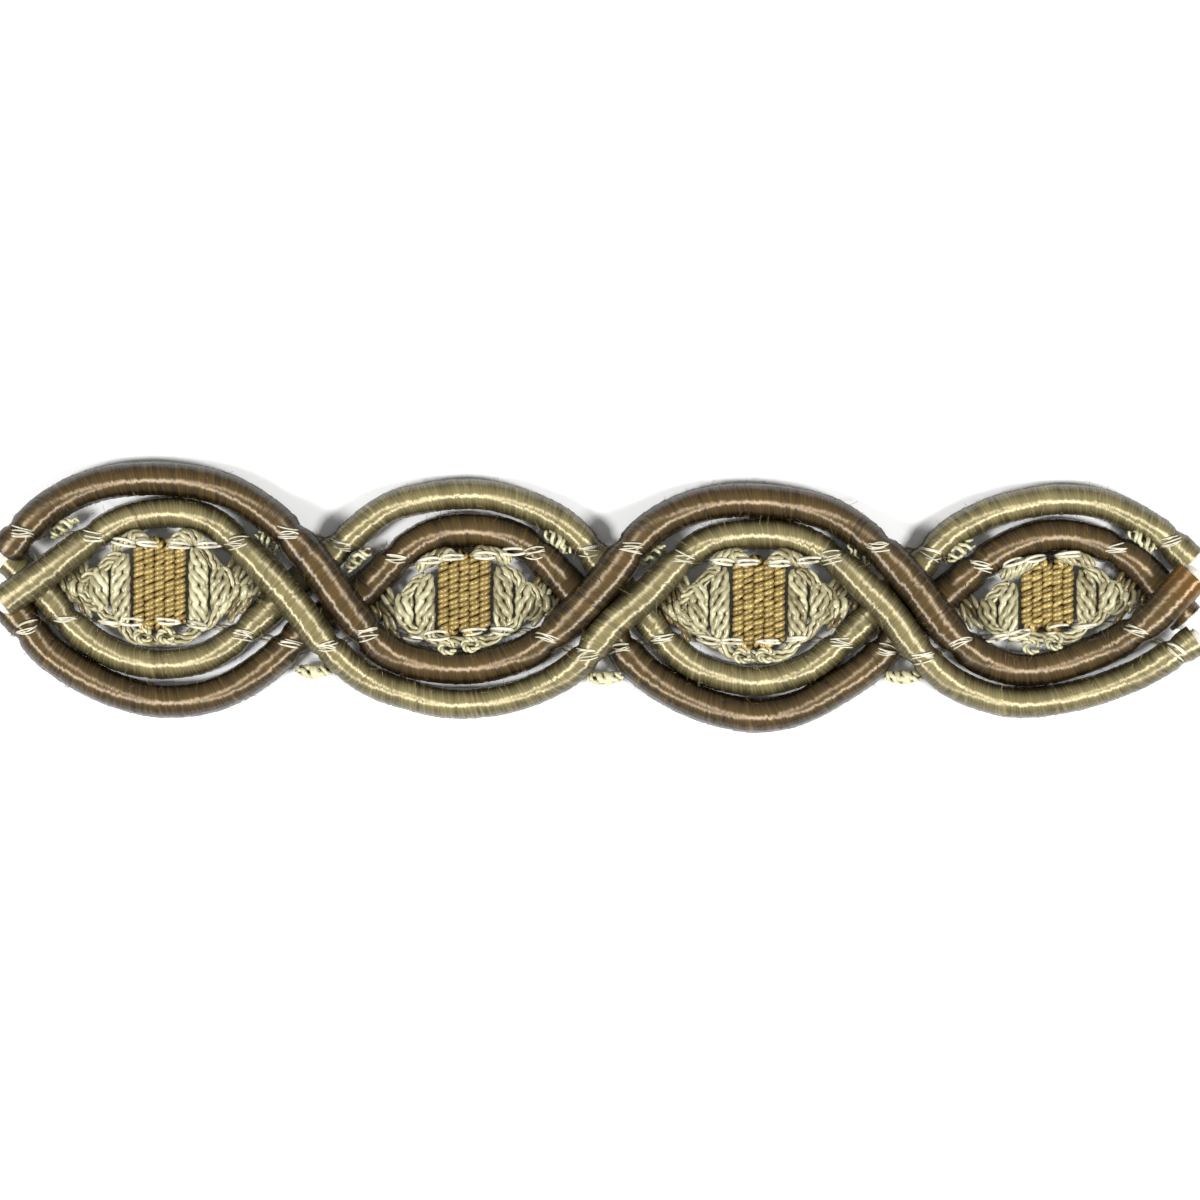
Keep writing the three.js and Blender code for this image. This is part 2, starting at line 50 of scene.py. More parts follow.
# Routes in plan, as in the part's own source, columns x, y
routes = {
    "umberOver": [
        (-59.6, 4.5), (-55.2, 9.2), (-50.2, 11.6), (-44, 12.2), (-38, 11.2), (-33.1, 8.4), (-28.8, 4.1),
        (-24.5, -1.8), (-20.5, -5.5), (-14, -6.75), (-8, -5.5), (-3.9, -2.7), (0.4, 1.7), (4.8, 6.9),
        (10, 9.5), (16, 10.0), (22.5, 8.8), (26.9, 6.0), (31.2, 1.6), (35.1, -3.4), (39, -6.1),
        (43.5, -6.9), (49.5, -5.3), (54.5, -2.4), (59.2, 2.4),
    ],
    "champagneOver": [
        (-59.6, -0.2), (-55.5, 2.7), (-51.2, 6.0), (-47.5, 8.1), (-43.2, 8.8), (-39.2, 7.95), (-36, 5.4),
        (-32.8, 2.3), (-30, -1.0), (-27.4, -4.4), (-23.5, -7.8), (-19.5, -9.4), (-15, -10.35),
        (-10, -10.0), (-5.5, -8.5), (-2, -6.2), (1.2, -2.4), (4.6, 0.5), (8.3, 4.2), (11.5, 6.1),
        (16, 6.65), (20, 6.05), (23.5, 4.1), (26.5, 1.3), (29, -1.3), (31.5, -4.7), (34.8, -7.9),
        (39, -9.8), (43, -10.3), (48.5, -9.4), (53.5, -7.6), (57, -5.5), (59.4, -4.0),
    ],
    "champagneUnder": [
        (-59.2, 4.1), (-55.4, 0.4), (-53.2, -2.2), (-50.5, -4.4), (-47.5, -5.8), (-43.8, -6.4),
        (-39.5, -5.7), (-36, -3.5), (-32.6, -0.5), (-29, 2.9), (-25.1, 6.3), (-21.4, 9.1),
        (-17.7, 10.2), (-13.8, 10.65), (-10, 10.3), (-5.5, 8.7), (-2.9, 7.0), (-0.8, 4.8), (2, 1.3),
        (4.6, -1.8), (6.8, -4.4), (10, -6.8), (15.5, -8.1), (20.5, -6.95), (23.7, -4.7), (26.6, -2.1),
        (30.8, 2.1), (34.9, 6.4), (38.6, 8.5), (42.3, 9.6), (46.2, 10.1), (50.5, 9.6), (54.5, 7.7),
        (57.2, 5.8), (59.2, 3.9),
    ],
    "umberUnder": [
        (-59.4, -0.2), (-57.1, -3.0), (-55.1, -5.3), (-51.3, -7.8), (-47.5, -9.4), (-43.7, -10.1),
        (-39.5, -9.7), (-36, -8.3), (-33, -6.2), (-30, -3.5), (-26.5, -1.1), (-23.2, 1.4), (-20, 4.5),
        (-17, 6.4), (-13.5, 7.05), (-9.5, 6.5), (-6.5, 4.8), (-3.8, 2.1), (-0.8, -1.3), (2.2, -4.9),
        (5, -7.6), (8.7, -9.8), (12.4, -11.1), (16, -11.6), (20, -10.8), (24, -8.65), (27.2, -6.4),
        (31.3, -2.4), (35.5, 1.3), (39, 4.1), (42.5, 5.9), (46.2, 6.5), (50, 5.7), (53.5, 3.8),
        (56, 1.3), (58.8, -1.9),
    ],
    "chainUpper": [
        (-59.3, 6.9), (-56, 6.6), (-51.5, 6.4), (-45, 5.5), (-36, 5.6), (-31, 6.5), (-25.5, 5.6),
        (-19, 4.0), (-13.5, 4.4), (-7, 4.8), (-1, 5.1), (4, 5.0), (9, 4.1), (15.5, 3.6), (22, 4.1),
        (27.5, 5.3), (33, 4.7), (38, 3.4), (45, 4.3), (52, 5.0), (56, 5.6), (59.2, 6.4),
    ],
    "chainLower": [
        (-59.2, -3.4), (-54, -1.9), (-49, -2.2), (-42, -2.3), (-37, -3.0), (-32, -4.2), (-27.5, -4.7),
        (-23, -3.3), (-18, -3.7), (-12.5, -3.1), (-6.5, -3.4), (-2, -5.3), (3, -4.6), (7.5, -3.8),
        (14, -4.2), (21, -4.1), (28, -4.8), (32.2, -5.5), (37, -4.1), (42, -3.5), (47, -2.7),
        (52, -2.6), (56.5, -4.5), (59.2, -6.4),
    ],
}

# Materials

# Each finish: its darkest and lightest colour, roughness, metallic share, specular level and IOR, then its
# filaments to a millimetre around and along the surface, their relief in millimetres and how far they streak
finishes = {
    "umber": {
        "name": "umber_satin", "dark": (0.016, 0.009, 0.003), "light": (0.170, 0.107, 0.034),
        "rough": 0.42, "metal": 0.45, "gloss": 1.0, "ior": 1.6, "stain": (0.200, 0.095, 0.012),
        "around": 0.6, "along": 14, "relief": 0.015, "streak": 0.3, "satin": True,
    },
    "champagne": {
        "name": "champagne_satin", "dark": (0.060, 0.048, 0.018), "light": (0.370, 0.310, 0.140),
        "rough": 0.42, "metal": 0.4, "gloss": 1.0, "ior": 1.6,
        "around": 0.6, "along": 14, "relief": 0.015, "streak": 0.3, "satin": True,
    },
    "cream": {
        "name": "cream_yarn", "dark": (0.110, 0.078, 0.026), "light": (0.660, 0.625, 0.395),
        "rough": 0.32, "metal": 0.1, "gloss": 0.5, "ior": 1.5,
        "around": 9, "along": 0.7, "relief": 0.05, "streak": 0.45,
    },
    "gold": {
        "name": "gold_yarn", "dark": (0.110, 0.068, 0.014), "light": (0.570, 0.425, 0.155),
        "rough": 0.34, "metal": 0.2, "gloss": 0.5, "ior": 1.5,
        "around": 9, "along": 0.9, "relief": 0.03, "streak": 0.45,
    },
    "thread": {
        "name": "stitch_thread", "dark": (0.260, 0.220, 0.120), "light": (0.800, 0.770, 0.630),
        "rough": 0.26, "metal": 0.0, "gloss": 0.7, "ior": 1.5,
        "around": 10, "along": 1.2, "relief": 0.03, "streak": 0.45,
    },
    "core": {
        "name": "cord_core", "dark": (0.480, 0.450, 0.360), "light": (0.860, 0.840, 0.770),
        "rough": 0.80, "metal": 0.0, "gloss": 0.3, "ior": 1.5,
        "around": 6, "along": 6, "relief": 0.08, "streak": 0.45,
    },
}
# The filaments' noise, its contrast, and the strength of their relief
filament = {"detail": 3.0, "fineness": 0.6, "contrast": 1.8, "bump": 0.6}


# A new node with its settings and the values of its inputs
def addNode(nodes, kind, values=(), **settings):
    node = nodes.new(kind)
    for key, value in settings.items():
        setattr(node, key, value)
    for key, value in dict(values).items():
        node.inputs[key].default_value = value
    return node


# Filaments drawn along a surface: noise on the piece's own UV, in millimetres, stretched by
# Around and Along, gives a mask from 0 to 1, spread from its middle by Contrast, and the noise as a height
def makeFilamentGroup():
    group = bpy.data.node_groups.new("filaments", "ShaderNodeTree")
    for name in ("Around", "Along", "Contrast"):
        group.interface.new_socket(name, in_out="INPUT", socket_type="NodeSocketFloat")
    for name in ("Mask", "Height"):
        group.interface.new_socket(name, in_out="OUTPUT", socket_type="NodeSocketFloat")
    nodes, links = group.nodes, group.links
    inputs, outputs = nodes.new("NodeGroupInput"), nodes.new("NodeGroupOutput")
    place = addNode(nodes, "ShaderNodeUVMap", uv_map="wound")
    stretch = addNode(nodes, "ShaderNodeCombineXYZ")
    scaled = addNode(nodes, "ShaderNodeVectorMath", operation="MULTIPLY")
    grain = {"Scale": 1, "Detail": filament["detail"], "Roughness": filament["fineness"]}
    noise = addNode(nodes, "ShaderNodeTexNoise", grain)
    spread = addNode(nodes, "ShaderNodeMath", operation="MULTIPLY_ADD", use_clamp=True)
    offset = addNode(nodes, "ShaderNodeMath", {1: -0.5, 2: 0.5}, operation="MULTIPLY_ADD")
    links.new(inputs.outputs["Around"], stretch.inputs["X"])
    links.new(inputs.outputs["Along"], stretch.inputs["Y"])
    links.new(place.outputs["UV"], scaled.inputs[0])
    links.new(stretch.outputs["Vector"], scaled.inputs[1])
    links.new(scaled.outputs["Vector"], noise.inputs["Vector"])
    links.new(inputs.outputs["Contrast"], offset.inputs[0])
    links.new(noise.outputs["Fac"], spread.inputs[0])
    links.new(inputs.outputs["Contrast"], spread.inputs[1])
    links.new(offset.outputs["Value"], spread.inputs[2])
    links.new(spread.outputs["Value"], outputs.inputs["Mask"])
    links.new(noise.outputs["Fac"], outputs.inputs["Height"])
    return group


filamentGroup = makeFilamentGroup()


# A look's stain laid over a colour, by the surface's own stain attribute
def stained(nodes, links, look, colour):
    if "stain" not in look:
        return colour
    place = addNode(nodes, "ShaderNodeAttribute", attribute_name="stain")
    mix = addNode(nodes, "ShaderNodeMix", {"B": (*look["stain"], 1)}, data_type="RGBA")
    links.new(place.outputs["Fac"], mix.inputs["Factor"])
    links.new(colour, mix.inputs["A"])
    return mix.outputs["Result"]


# Colour is the dark to light mix by the filament mask and by the surface's own attribute of tone and painted
# shade, then the stain by its attribute where the look has one; the same filaments are a fine relief. Satin
# stretches the highlight along the wraps, a quarter turn from the UV's tangent
def yarnMaterial(look):
    material = bpy.data.materials.new(look["name"])
    material.use_nodes = True
    nodes, links = material.node_tree.nodes, material.node_tree.links
    shader = nodes["Principled BSDF"]
    drawn = {"Around": look["around"], "Along": look["along"], "Contrast": filament["contrast"]}
    filaments = addNode(nodes, "ShaderNodeGroup", drawn, node_tree=filamentGroup)
    toneAndPaintedShade = addNode(nodes, "ShaderNodeAttribute", attribute_name="toneAndPaintedShade")
    centred = addNode(nodes, "ShaderNodeMath", {1: 0.5}, operation="SUBTRACT")
    share = addNode(nodes, "ShaderNodeMath", {1: look["streak"]}, operation="MULTIPLY_ADD", use_clamp=True)
    ends = {"A": (*look["dark"], 1), "B": (*look["light"], 1)}
    colour = addNode(nodes, "ShaderNodeMix", ends, data_type="RGBA")
    relief = {"Strength": filament["bump"], "Distance": look["relief"] * metres}
    bump = addNode(nodes, "ShaderNodeBump", relief)
    links.new(filaments.outputs["Mask"], centred.inputs[0])
    links.new(centred.outputs["Value"], share.inputs[0])
    links.new(toneAndPaintedShade.outputs["Fac"], share.inputs[2])
    links.new(share.outputs["Value"], colour.inputs["Factor"])
    links.new(stained(nodes, links, look, colour.outputs["Result"]), shader.inputs["Base Color"])
    links.new(filaments.outputs["Height"], bump.inputs["Height"])
    links.new(bump.outputs["Normal"], shader.inputs["Normal"])
    shader.inputs["Roughness"].default_value = look["rough"]
    shader.inputs["Metallic"].default_value = look["metal"]
    shader.inputs["Specular IOR Level"].default_value = look["gloss"]
    shader.inputs["IOR"].default_value = look["ior"]
    if "satin" in look:
        tangent = addNode(nodes, "ShaderNodeTangent", direction_type="UV_MAP", uv_map="wound")
        links.new(tangent.outputs["Tangent"], shader.inputs["Tangent"])
        shader.inputs["Anisotropic"].default_value = 1.0
        shader.inputs["Anisotropic Rotation"].default_value = 0.25
    return material


materials = {finish: yarnMaterial(look) for finish, look in finishes.items()}
print("materials made")

# Shared geometry


# From 0 to 1 along an S curve: the share's square times 3 less twice the share
def smooth(share):
    share = np.clip(share, 0, 1)
    return share * share * (3 - 2 * share)


# Vectors of length 1
def unit(vectors):
    return vectors / np.maximum(np.linalg.norm(vectors, axis=-1, keepdims=True), 1e-12)


# A Catmull-Rom line through the points, drawn finely, then points spaced evenly by length along it
def spacedLine(points, step):
    points = np.array(points, float)
    knots = np.vstack([2 * points[0] - points[1], points, 2 * points[-1] - points[-2]])
    fine = 100 * len(points)
    place = np.linspace(0, len(points) - 1, fine)
    span = np.minimum(place.astype(int), len(points) - 2)
    t = (place - span)[:, None]
    a, b, c, d = (knots[span + k] for k in range(4))
    line = 0.5 * (2 * b + (c - a) * t + (2 * a - 5 * b + 4 * c - d) * t**2 + (3 * b - a - 3 * c + d) * t**3)
    length = lengthAlong(line)
    even = np.linspace(0, length[-1], max(2, round(length[-1] / step)) + 1)
    return np.stack([np.interp(even, length, column) for column in line.T], axis=1)


# The length from a line's start to each of its points
def lengthAlong(line):
    return np.r_[0, np.cumsum(np.linalg.norm(np.diff(line, axis=0), axis=1))]


# Directions square to a line: across is level, and up completes them
def directions(line, closed=False):
    if closed:
        along = unit(np.roll(line, -1, axis=0) - np.roll(line, 1, axis=0))
    else:
        along = unit(np.gradient(line, axis=0))
    across = unit(np.cross((0.0, 0.0, 1.0), along))
    return across, np.cross(along, across)


# A tube: ring i is line[i] + across wide cos(a) + up high sin(a) for the angles a of its sides;
# wide, high and the tone with its painted shade are numbers, one for each ring, or one for each ring and
# side
def tube(line, wide, high, sides, toneAndPaintedShade=0.5, closed=False, core=False):
    def spread(value):
        value = np.reshape(value, (-1, 1)) if np.ndim(value) == 1 else value
        return np.broadcast_to(value, (len(line), sides))

    across, up = directions(line, closed)
    angle = np.arange(sides) * 2 * math.pi / sides
    wide, high, toneAndPaintedShade = spread(wide), spread(high), spread(toneAndPaintedShade)
    points = (
        line[:, None]
        + across[:, None] * (wide * np.cos(angle))[..., None]
        + up[:, None] * (high * np.sin(angle))[..., None]
    )
    girth = math.pi * (np.mean(wide) + np.mean(high))
    return {"points": points, "length": lengthAlong(line), "girth": girth, "toneAndPaintedShade": toneAndPaintedShade, "closed": closed,
            "core": core, "stain": np.zeros((len(line), sides))}


# Puts tubes into one mesh: quads between neighbouring rings, a fan over each open end
def meshOf(name, tubes):
    points, quads, fans, quadUv, fanUv, tints, stains, quadKind, fanKind = ([] for _ in range(9))
    start = 0
    for part in tubes:
        rings, sides, _ = part["points"].shape
        spans = rings if part["closed"] else rings - 1
        i, j = np.meshgrid(np.arange(spans), np.arange(sides), indexing="ij")
        iNext, jNext = (i + 1) % rings, (j + 1) % sides
        corners = [(i, j), (i, jNext), (iNext, jNext), (iNext, j)]
        quads.append(np.stack([start + a * sides + b for a, b in corners], axis=-1).reshape(-1, 4))
        length = np.r_[part["length"], part["length"][-1] * (1 + 1 / rings)]
        u = np.stack([j, j + 1, j + 1, j], axis=-1) * part["girth"] / sides
        v = length[np.stack([i, i, i + 1, i + 1], axis=-1)]
        quadUv.append(np.stack([u, v], axis=-1).reshape(-1, 2))
        quadKind.append(np.full(spans * sides, int(part["core"])))
        points.append(part["points"].reshape(-1, 3))
        tints.append(part["toneAndPaintedShade"].reshape(-1))
        stains.append(part["stain"].reshape(-1))
        start += rings * sides
        if part["closed"]:
            continue
        ring, ringNext = np.arange(sides), (np.arange(sides) + 1) % sides
        last = start - sides
        first = start - rings * sides
        fans.append(np.stack([np.full(sides, start), first + ringNext, first + ring], axis=-1))
        fans.append(np.stack([np.full(sides, start + 1), last + ring, last + ringNext], axis=-1))
        points.append(part["points"][[0, -1]].mean(axis=1))
        tints.append(part["toneAndPaintedShade"][[0, -1]].mean(axis=1))
        stains.append(part["stain"][[0, -1]].mean(axis=1))
        start += 2
        for end in (0, -1):
            rim = np.zeros((sides, 3, 2))
            rim[:, 1:, 0] = np.stack([ring, ring + 1], axis=-1) * part["girth"] / sides
            rim[:, :, 1] = part["length"][end]
            fanUv.append(rim.reshape(-1, 2))
            fanKind.append(np.full(sides, int(part["core"])))
    mesh = bpy.data.meshes.new(name)
    faces = np.concatenate(quads).tolist()
    if fans:
        faces += np.concatenate(fans).tolist()
    mesh.from_pydata((np.concatenate(points) * metres).tolist(), [], faces)
    mesh.uv_layers.new(name="wound").data.foreach_set("uv", np.concatenate(quadUv + fanUv).ravel())
    for label, values in (("toneAndPaintedShade", tints), ("stain", stains)):
        attribute = mesh.attributes.new(label, "FLOAT", "POINT")
        attribute.data.foreach_set("value", np.concatenate(values).astype(np.float32))
    mesh.polygons.foreach_set("material_index", np.concatenate(quadKind + fanKind).astype(np.int32))
    mesh.polygons.foreach_set("use_smooth", np.ones(len(faces), bool))
    mesh.update()
    return mesh


# A finished piece in the scene, in place of its CAD nodes
def addPiece(name, tubes, slotName, nodes, *looks):
    shifted = [{**part, "points": part["points"] + shift} for part in tubes]
    piece = bpy.data.objects.new(name, meshOf(name, shifted))
    bpy.context.scene.collection.objects.link(piece)
    for look in looks:
        piece.data.materials.append(materials[look])
    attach(piece, "root")
    if nodes:
        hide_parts(*nodes)
    print(name, "made,", len(piece.data.polygons), "faces")


# A slow wander along a length: sines of the given wavelengths with random phases, sum within +-1
def wander(length, waves, random):
    phases = random.uniform(0, 2 * math.pi, len(waves))
    sines = [np.sin(2 * math.pi * length / wave + phase) for wave, phase in zip(waves, phases)]
    return sum(sines) / len(waves)


# Gimp cords

gimp = {
    # The surface's grid, and the sides of the plain tube that is compared with the CAD
    "step": 0.057, "sides": 24, "plainSides": 40,
    # One wrap's width, how far it leans over the cord's half width, how its place wanders, and the number
    # of the first, which keeps them all above 0
    "pitch": 0.31, "lean": 0.35, "wander": 0.7, "waves": (7.3, 3.1, 1.9), "first": 8,
    # How far the wraps stand out and differ, and how round they are
    "ridge": 0.026, "uneven": 0.008, "bulge": 0.036, "bulgeLeast": 0.3, "lumps": (2, 6), "roundness": 0.5,
    # Soft sides: how far the wraps spread, and how much more below the middle, and how soon
    "wider": 0.04, "flank": 0.22, "flankSteep": 2,
    # A capped end's length, how much darker it is, and the square of its tip's size
    "cap": 1.2, "capShade": 0.6, "capTip": 0.01,
    # The stained stretch's length at the end, and its strength
    "stain": 5.0, "stainStrength": 0.85,
    # The section and the lift at a crossing, as in the part's source, and how finely crossings are sought
    "flattened": 0.8, "widened": 1.06, "flat": 1.9, "liftRamp": 6.6, "squeezeRamp": 3.2, "clear": 0.3,
    "facetShare": math.cos(math.pi / 10), "search": 0.05,
    # How far and how widely a tie pulls a cord in
    "pinch": 0.17, "pinchLength": 0.65,
    # The back chain presses into the cords above it
    "channel": 0.5, "channelHalf": 0.9, "channelSteep": 1.6,
    # The wraps' shade and how far it differs at random, how much a painted shade darkens the grooves between
    # them, and how much and how fast a painted shade deepens towards the cord's underside
    "shade": 0.94, "shadeSpread": 0.11, "paintedGrooveShade": 0.38, "paintedUndersideShade": 0.85, "paintedUndersidePower": 3.5,
}
radii = {"umber": 1.55, "champagne": 1.38}
cordRows = [
    {"finish": "umber", "layer": "over", "route": "umberOver", "seed": 11, "capped": True, "stained": True},
    {"finish": "champagne", "layer": "over", "route": "champagneOver", "seed": 12},
    {"finish": "champagne", "layer": "under", "route": "champagneUnder", "seed": 13},
    {"finish": "umber", "layer": "under", "route": "umberUnder", "seed": 14},
]
chainRoutes = ("chainUpper", "chainLower")
plans = {name: spacedLine(rows, gimp["step"]) for name, rows in routes.items()}


# A route's y at x
def heightOn(name, x):
    return np.interp(x, plans[name][:, 0], plans[name][:, 1])


# Points in plan where two routes meet
def crossingsOf(first, second):
    a, b = plans[first], plans[second]
    x = np.arange(max(a[0, 0], b[0, 0]), min(a[-1, 0], b[-1, 0]), gimp["search"])
    gap = heightOn(first, x) - heightOn(second, x)
    found = x[:-1][gap[:-1] * gap[1:] <= 0]
    return np.stack([found, heightOn(first, found)], axis=1)


# 1 over a crossing, easing to 0: full within flat of it and gone past flat plus ramp
def nearCrossing(places, line, ramp):
    away = np.linalg.norm(line[:, None, :2] - places[None], axis=2)
    return smooth((gimp["flat"] + ramp - away) / ramp).max(axis=1)


# A cord's middle line and the half width and half height of its section, with no wraps
def cordForm(row):
    plan, radius = plans[row["route"]], radii[row["finish"]]
    rivals = [other["route"] for other in cordRows if other["layer"] != row["layer"]]
    places = np.vstack([plan[[0, -1]], *[crossingsOf(row["route"], rival) for rival in rivals]])
    squeeze = nearCrossing(places, plan, gimp["squeezeRamp"])
    halfHeight = radius * (1 - (1 - gimp["flattened"]) * squeeze)
    halfWidth = radius * (1 + (gimp["widened"] - 1) * squeeze)
    lift = nearCrossing(places, plan, gimp["liftRamp"]) if row["layer"] == "over" else 0
    under = 2 * radii["umber"] * gimp["flattened"] * gimp["facetShare"] + gimp["clear"]
    middle = halfHeight * gimp["facetShare"] + lift * under
    return np.column_stack([plan, middle]), halfWidth, halfHeight


forms = {row["route"]: cordForm(row) for row in cordRows}

# The part's source shifts everything so that its origin is at the middle of its underside
firstLow, firstHigh = (np.array(corner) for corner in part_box("cord_umber_over"))
plain = tube(*forms["umberOver"], gimp["plainSides"])["points"].reshape(-1, 3)
shift = ((firstLow + firstHigh) / metres - plain.min(axis=0) - plain.max(axis=0)) / 2 * (1, 1, 0)
print("shift in plan", shift.round(3))


# Wraps on a cord. A wrap is a tilted ring: its number is (length + lean cos a) / pitch plus a slow
# wander. Between its edges it stands out as |sin| to a power, and each wrap has its own height and a bulge
# that goes round with the angle. Ties pull the cord in, and the back chain presses into its underside. The
# sides spread below the middle, as a soft cord's do, and a capped end is rounded like a quarter circle
def wrappedCord(row):
    line, halfWidth, halfHeight = forms[row["route"]]
    random = np.random.default_rng(row["seed"])
    angle = np.arange(gimp["sides"]) * 2 * math.pi / gimp["sides"]
    length = lengthAlong(line)
    number = (length[:, None] + gimp["lean"] * np.cos(angle)) / gimp["pitch"]
    number = number + (gimp["wander"] * wander(length, gimp["waves"], random))[:, None] + gimp["first"]
    wrap = np.floor(number).astype(int)
    count = wrap.max() + 1
    height = random.normal(0, gimp["uneven"], count)
    bulge = random.uniform(gimp["bulgeLeast"], 1, count) * gimp["bulge"]
    lumps = random.integers(*gimp["lumps"], count)
    phase = random.uniform(0, 2 * math.pi, count)
    shade = random.normal(0, gimp["shadeSpread"], count)
    profile = np.abs(np.sin(math.pi * number)) ** gimp["roundness"]
    bulging = bulge[wrap] * np.sin(lumps[wrap] * angle + phase[wrap])
    raised = gimp["ridge"] * (profile - 1) + height[wrap] + bulging
    ties = np.vstack([crossingsOf(row["route"], chain) for chain in chainRoutes])
    away = np.linalg.norm(line[:, None, :2] - ties[None], axis=2)
    pulled = 1 - gimp["pinch"] * np.exp(-((away / gimp["pinchLength"]) ** 2)).sum(axis=1)
    cap = np.minimum(length / gimp["cap"], 1) if "capped" in row else 1
    rounded = np.sqrt(1 - (1 - cap) ** 2 + gimp["capTip"]) * np.ones(len(line))
    spread = 1 + gimp["wider"] + gimp["flank"] * smooth(-gimp["flankSteep"] * np.sin(angle))
    wide = (halfWidth * pulled * rounded)[:, None] * spread + raised
    high = (halfHeight * pulled * rounded)[:, None] + raised
    # Painted shade: darker towards the cord's underside, by how far its side faces down, and in the grooves
    # between the wraps
    paintedLowShade = 1 - np.maximum(np.sin(angle), 0) ** gimp["paintedUndersidePower"]
    toneAndPaintedShade = gimp["shade"] + shade[wrap] - gimp["paintedGrooveShade"] * (1 - profile) - gimp["paintedUndersideShade"] * paintedLowShade
    toneAndPaintedShade = toneAndPaintedShade - gimp["capShade"] * (1 - smooth(rounded))[:, None]
    body = tube(line, wide, high, gimp["sides"], toneAndPaintedShade=np.clip(toneAndPaintedShade, 0, 1))
    if "stained" in row:
        near = smooth(1 - (length[-1] - length) / gimp["stain"])
        body["stain"] = np.repeat(gimp["stainStrength"] * near[:, None], gimp["sides"], axis=1)
    points = body["points"]
    floor = np.zeros(points.shape[:2])
    for chain in chainRoutes:
        off = np.abs(points[..., 1] - heightOn(chain, points[..., 0])) / gimp["channelHalf"]
        floor = np.maximum(floor, gimp["channel"] * smooth(gimp["channelSteep"] * (1 - off)))
    points[..., 2] = np.maximum(points[..., 2], floor)
    return body


core = {
    # The core's share of the cord's radius, how far it stands out, and its rings as shares of that
    "size": 0.85, "out": 0.9, "inset": 0.1, "rings": (0, 0.3, 0.55, 0.75, 0.9),
    "frayed": 0.1, "sides": 20, "shade": 0.6, "seed": 10,
}


# The soft white core that shows at a cord's cut ends: a half ellipsoid on the end section, frayed at random
# by side
def coreEnds(row):
    line, halfWidth, halfHeight = forms[row["route"]]
    random = np.random.default_rng(row["seed"] + core["seed"])
    domes = []
    for end, step in ((0, 1), (-1, -1)):
        if end == 0 and "capped" in row:
            continue
        outward = unit(line[end] - line[end + step])
        share = np.array(core["rings"])
        middle = line[end] + outward * (core["out"] * share[:, None] - core["inset"])
        radius = core["size"] * np.sqrt(1 - share**2)
        if step == 1:
            middle, radius = middle[::-1], radius[::-1]
        frayed = radius[:, None] * (1 + random.normal(0, core["frayed"], (len(share), core["sides"])))
        wide, high = frayed * halfWidth[end], frayed * halfHeight[end]
        dome = tube(middle, wide, high, core["sides"], toneAndPaintedShade=core["shade"], core=True)
        dome["points"][..., 2] = np.maximum(dome["points"][..., 2], 0)
        domes.append(dome)
    return domes


fibre = {
    "count": 300, "thick": 0.024, "sides": 3, "points": 5, "seed": 20, "shade": (0.7, 1),
    # The points at a cord's ends that stay free of them, and how far below its sides they start, as an angle
    "ends": 30, "below": 0.3,
    # How long they are, and how far they run along, round and out
    "length": (0.4, 1.5), "along": 0.5, "round": 0.8, "out": 0.35, "outShare": (0.2, 1), "start": 0.4,
}


# Loose fibres: each leaves the wraps at a random place and angle, runs off round the cord or along it, and
# lifts away from it by a square law, but stays above the surface
def looseFibres(row):
    line, halfWidth, halfHeight = forms[row["route"]]
    random = np.random.default_rng(row["seed"] + fibre["seed"])
    across, up = directions(line)
    along = unit(np.gradient(line, axis=0))
    share = np.linspace(0, 1, fibre["points"])[:, None]
    fibres = []
    for i in random.integers(fibre["ends"], len(line) - fibre["ends"], fibre["count"]):
        a = random.uniform(-fibre["below"], math.pi + fibre["below"])
        outward = across[i] * math.cos(a) + up[i] * math.sin(a)
        sideways = across[i] * -math.sin(a) + up[i] * math.cos(a)
        foot = line[i] + across[i] * halfWidth[i] * math.cos(a) + up[i] * halfHeight[i] * math.sin(a)
        heading = along[i] * random.normal(0, fibre["along"]) + sideways * random.normal(0, fibre["round"])
        length = random.uniform(*fibre["length"])
        rise = outward * fibre["out"] * random.uniform(*fibre["outShare"])
        path = foot + length * (share * (heading + fibre["start"] * rise) + share**2 * rise)
        path[:, 2] = np.maximum(path[:, 2], 2 * fibre["thick"])
        shade = random.uniform(*fibre["shade"])
        fibres.append(tube(path, fibre["thick"], fibre["thick"], fibre["sides"], toneAndPaintedShade=shade))
    return fibres


for row in cordRows:
    finish, layer = row["finish"], row["layer"]
    cord = [wrappedCord(row), *coreEnds(row), *looseFibres(row)]
    addPiece(f"gimp_{finish}_{layer}", cord, f"{finish}_gimp", [f"cord_{finish}_{layer}"], finish, "core")

# Yarns in the eyes

eyes = [
    {"x": -44.1, "top": "champagneOver", "bottom": "champagneUnder"},
    {"x": -13.6, "top": "umberUnder", "bottom": "umberOver"},
    {"x": 15.9, "top": "champagneOver", "bottom": "champagneUnder"},
    {"x": 44.8, "top": "umberUnder", "bottom": "umberOver"},
]
yarnClear = 0.08  # how far a yarn stays clear of the cords round its eye

# What the stitches lie over: middle x, y, z, half width and half height at every few rings of the cords
# and yarns
bodies = []


def addBody(line, wide, high, every):
    bodies.append(np.column_stack([line, wide * np.ones(len(line)), high * np.ones(len(line))])[::every])


for line, halfWidth, halfHeight in forms.values():
    addBody(line, halfWidth, halfHeight, every=4)


# The y of a cord's edge at x, on its upper side for 1 and its lower side for -1, moved out by more, and the
# cord's slope there
def edgeAt(name, x, side, more=0):
    line, halfWidth, _ = forms[name]
    slope = np.interp(x, line[:, 0], np.gradient(line[:, 1], line[:, 0]))
    half = np.interp(x, line[:, 0], halfWidth) + more
    return heightOn(name, x) + side * half * np.hypot(1, slope), slope


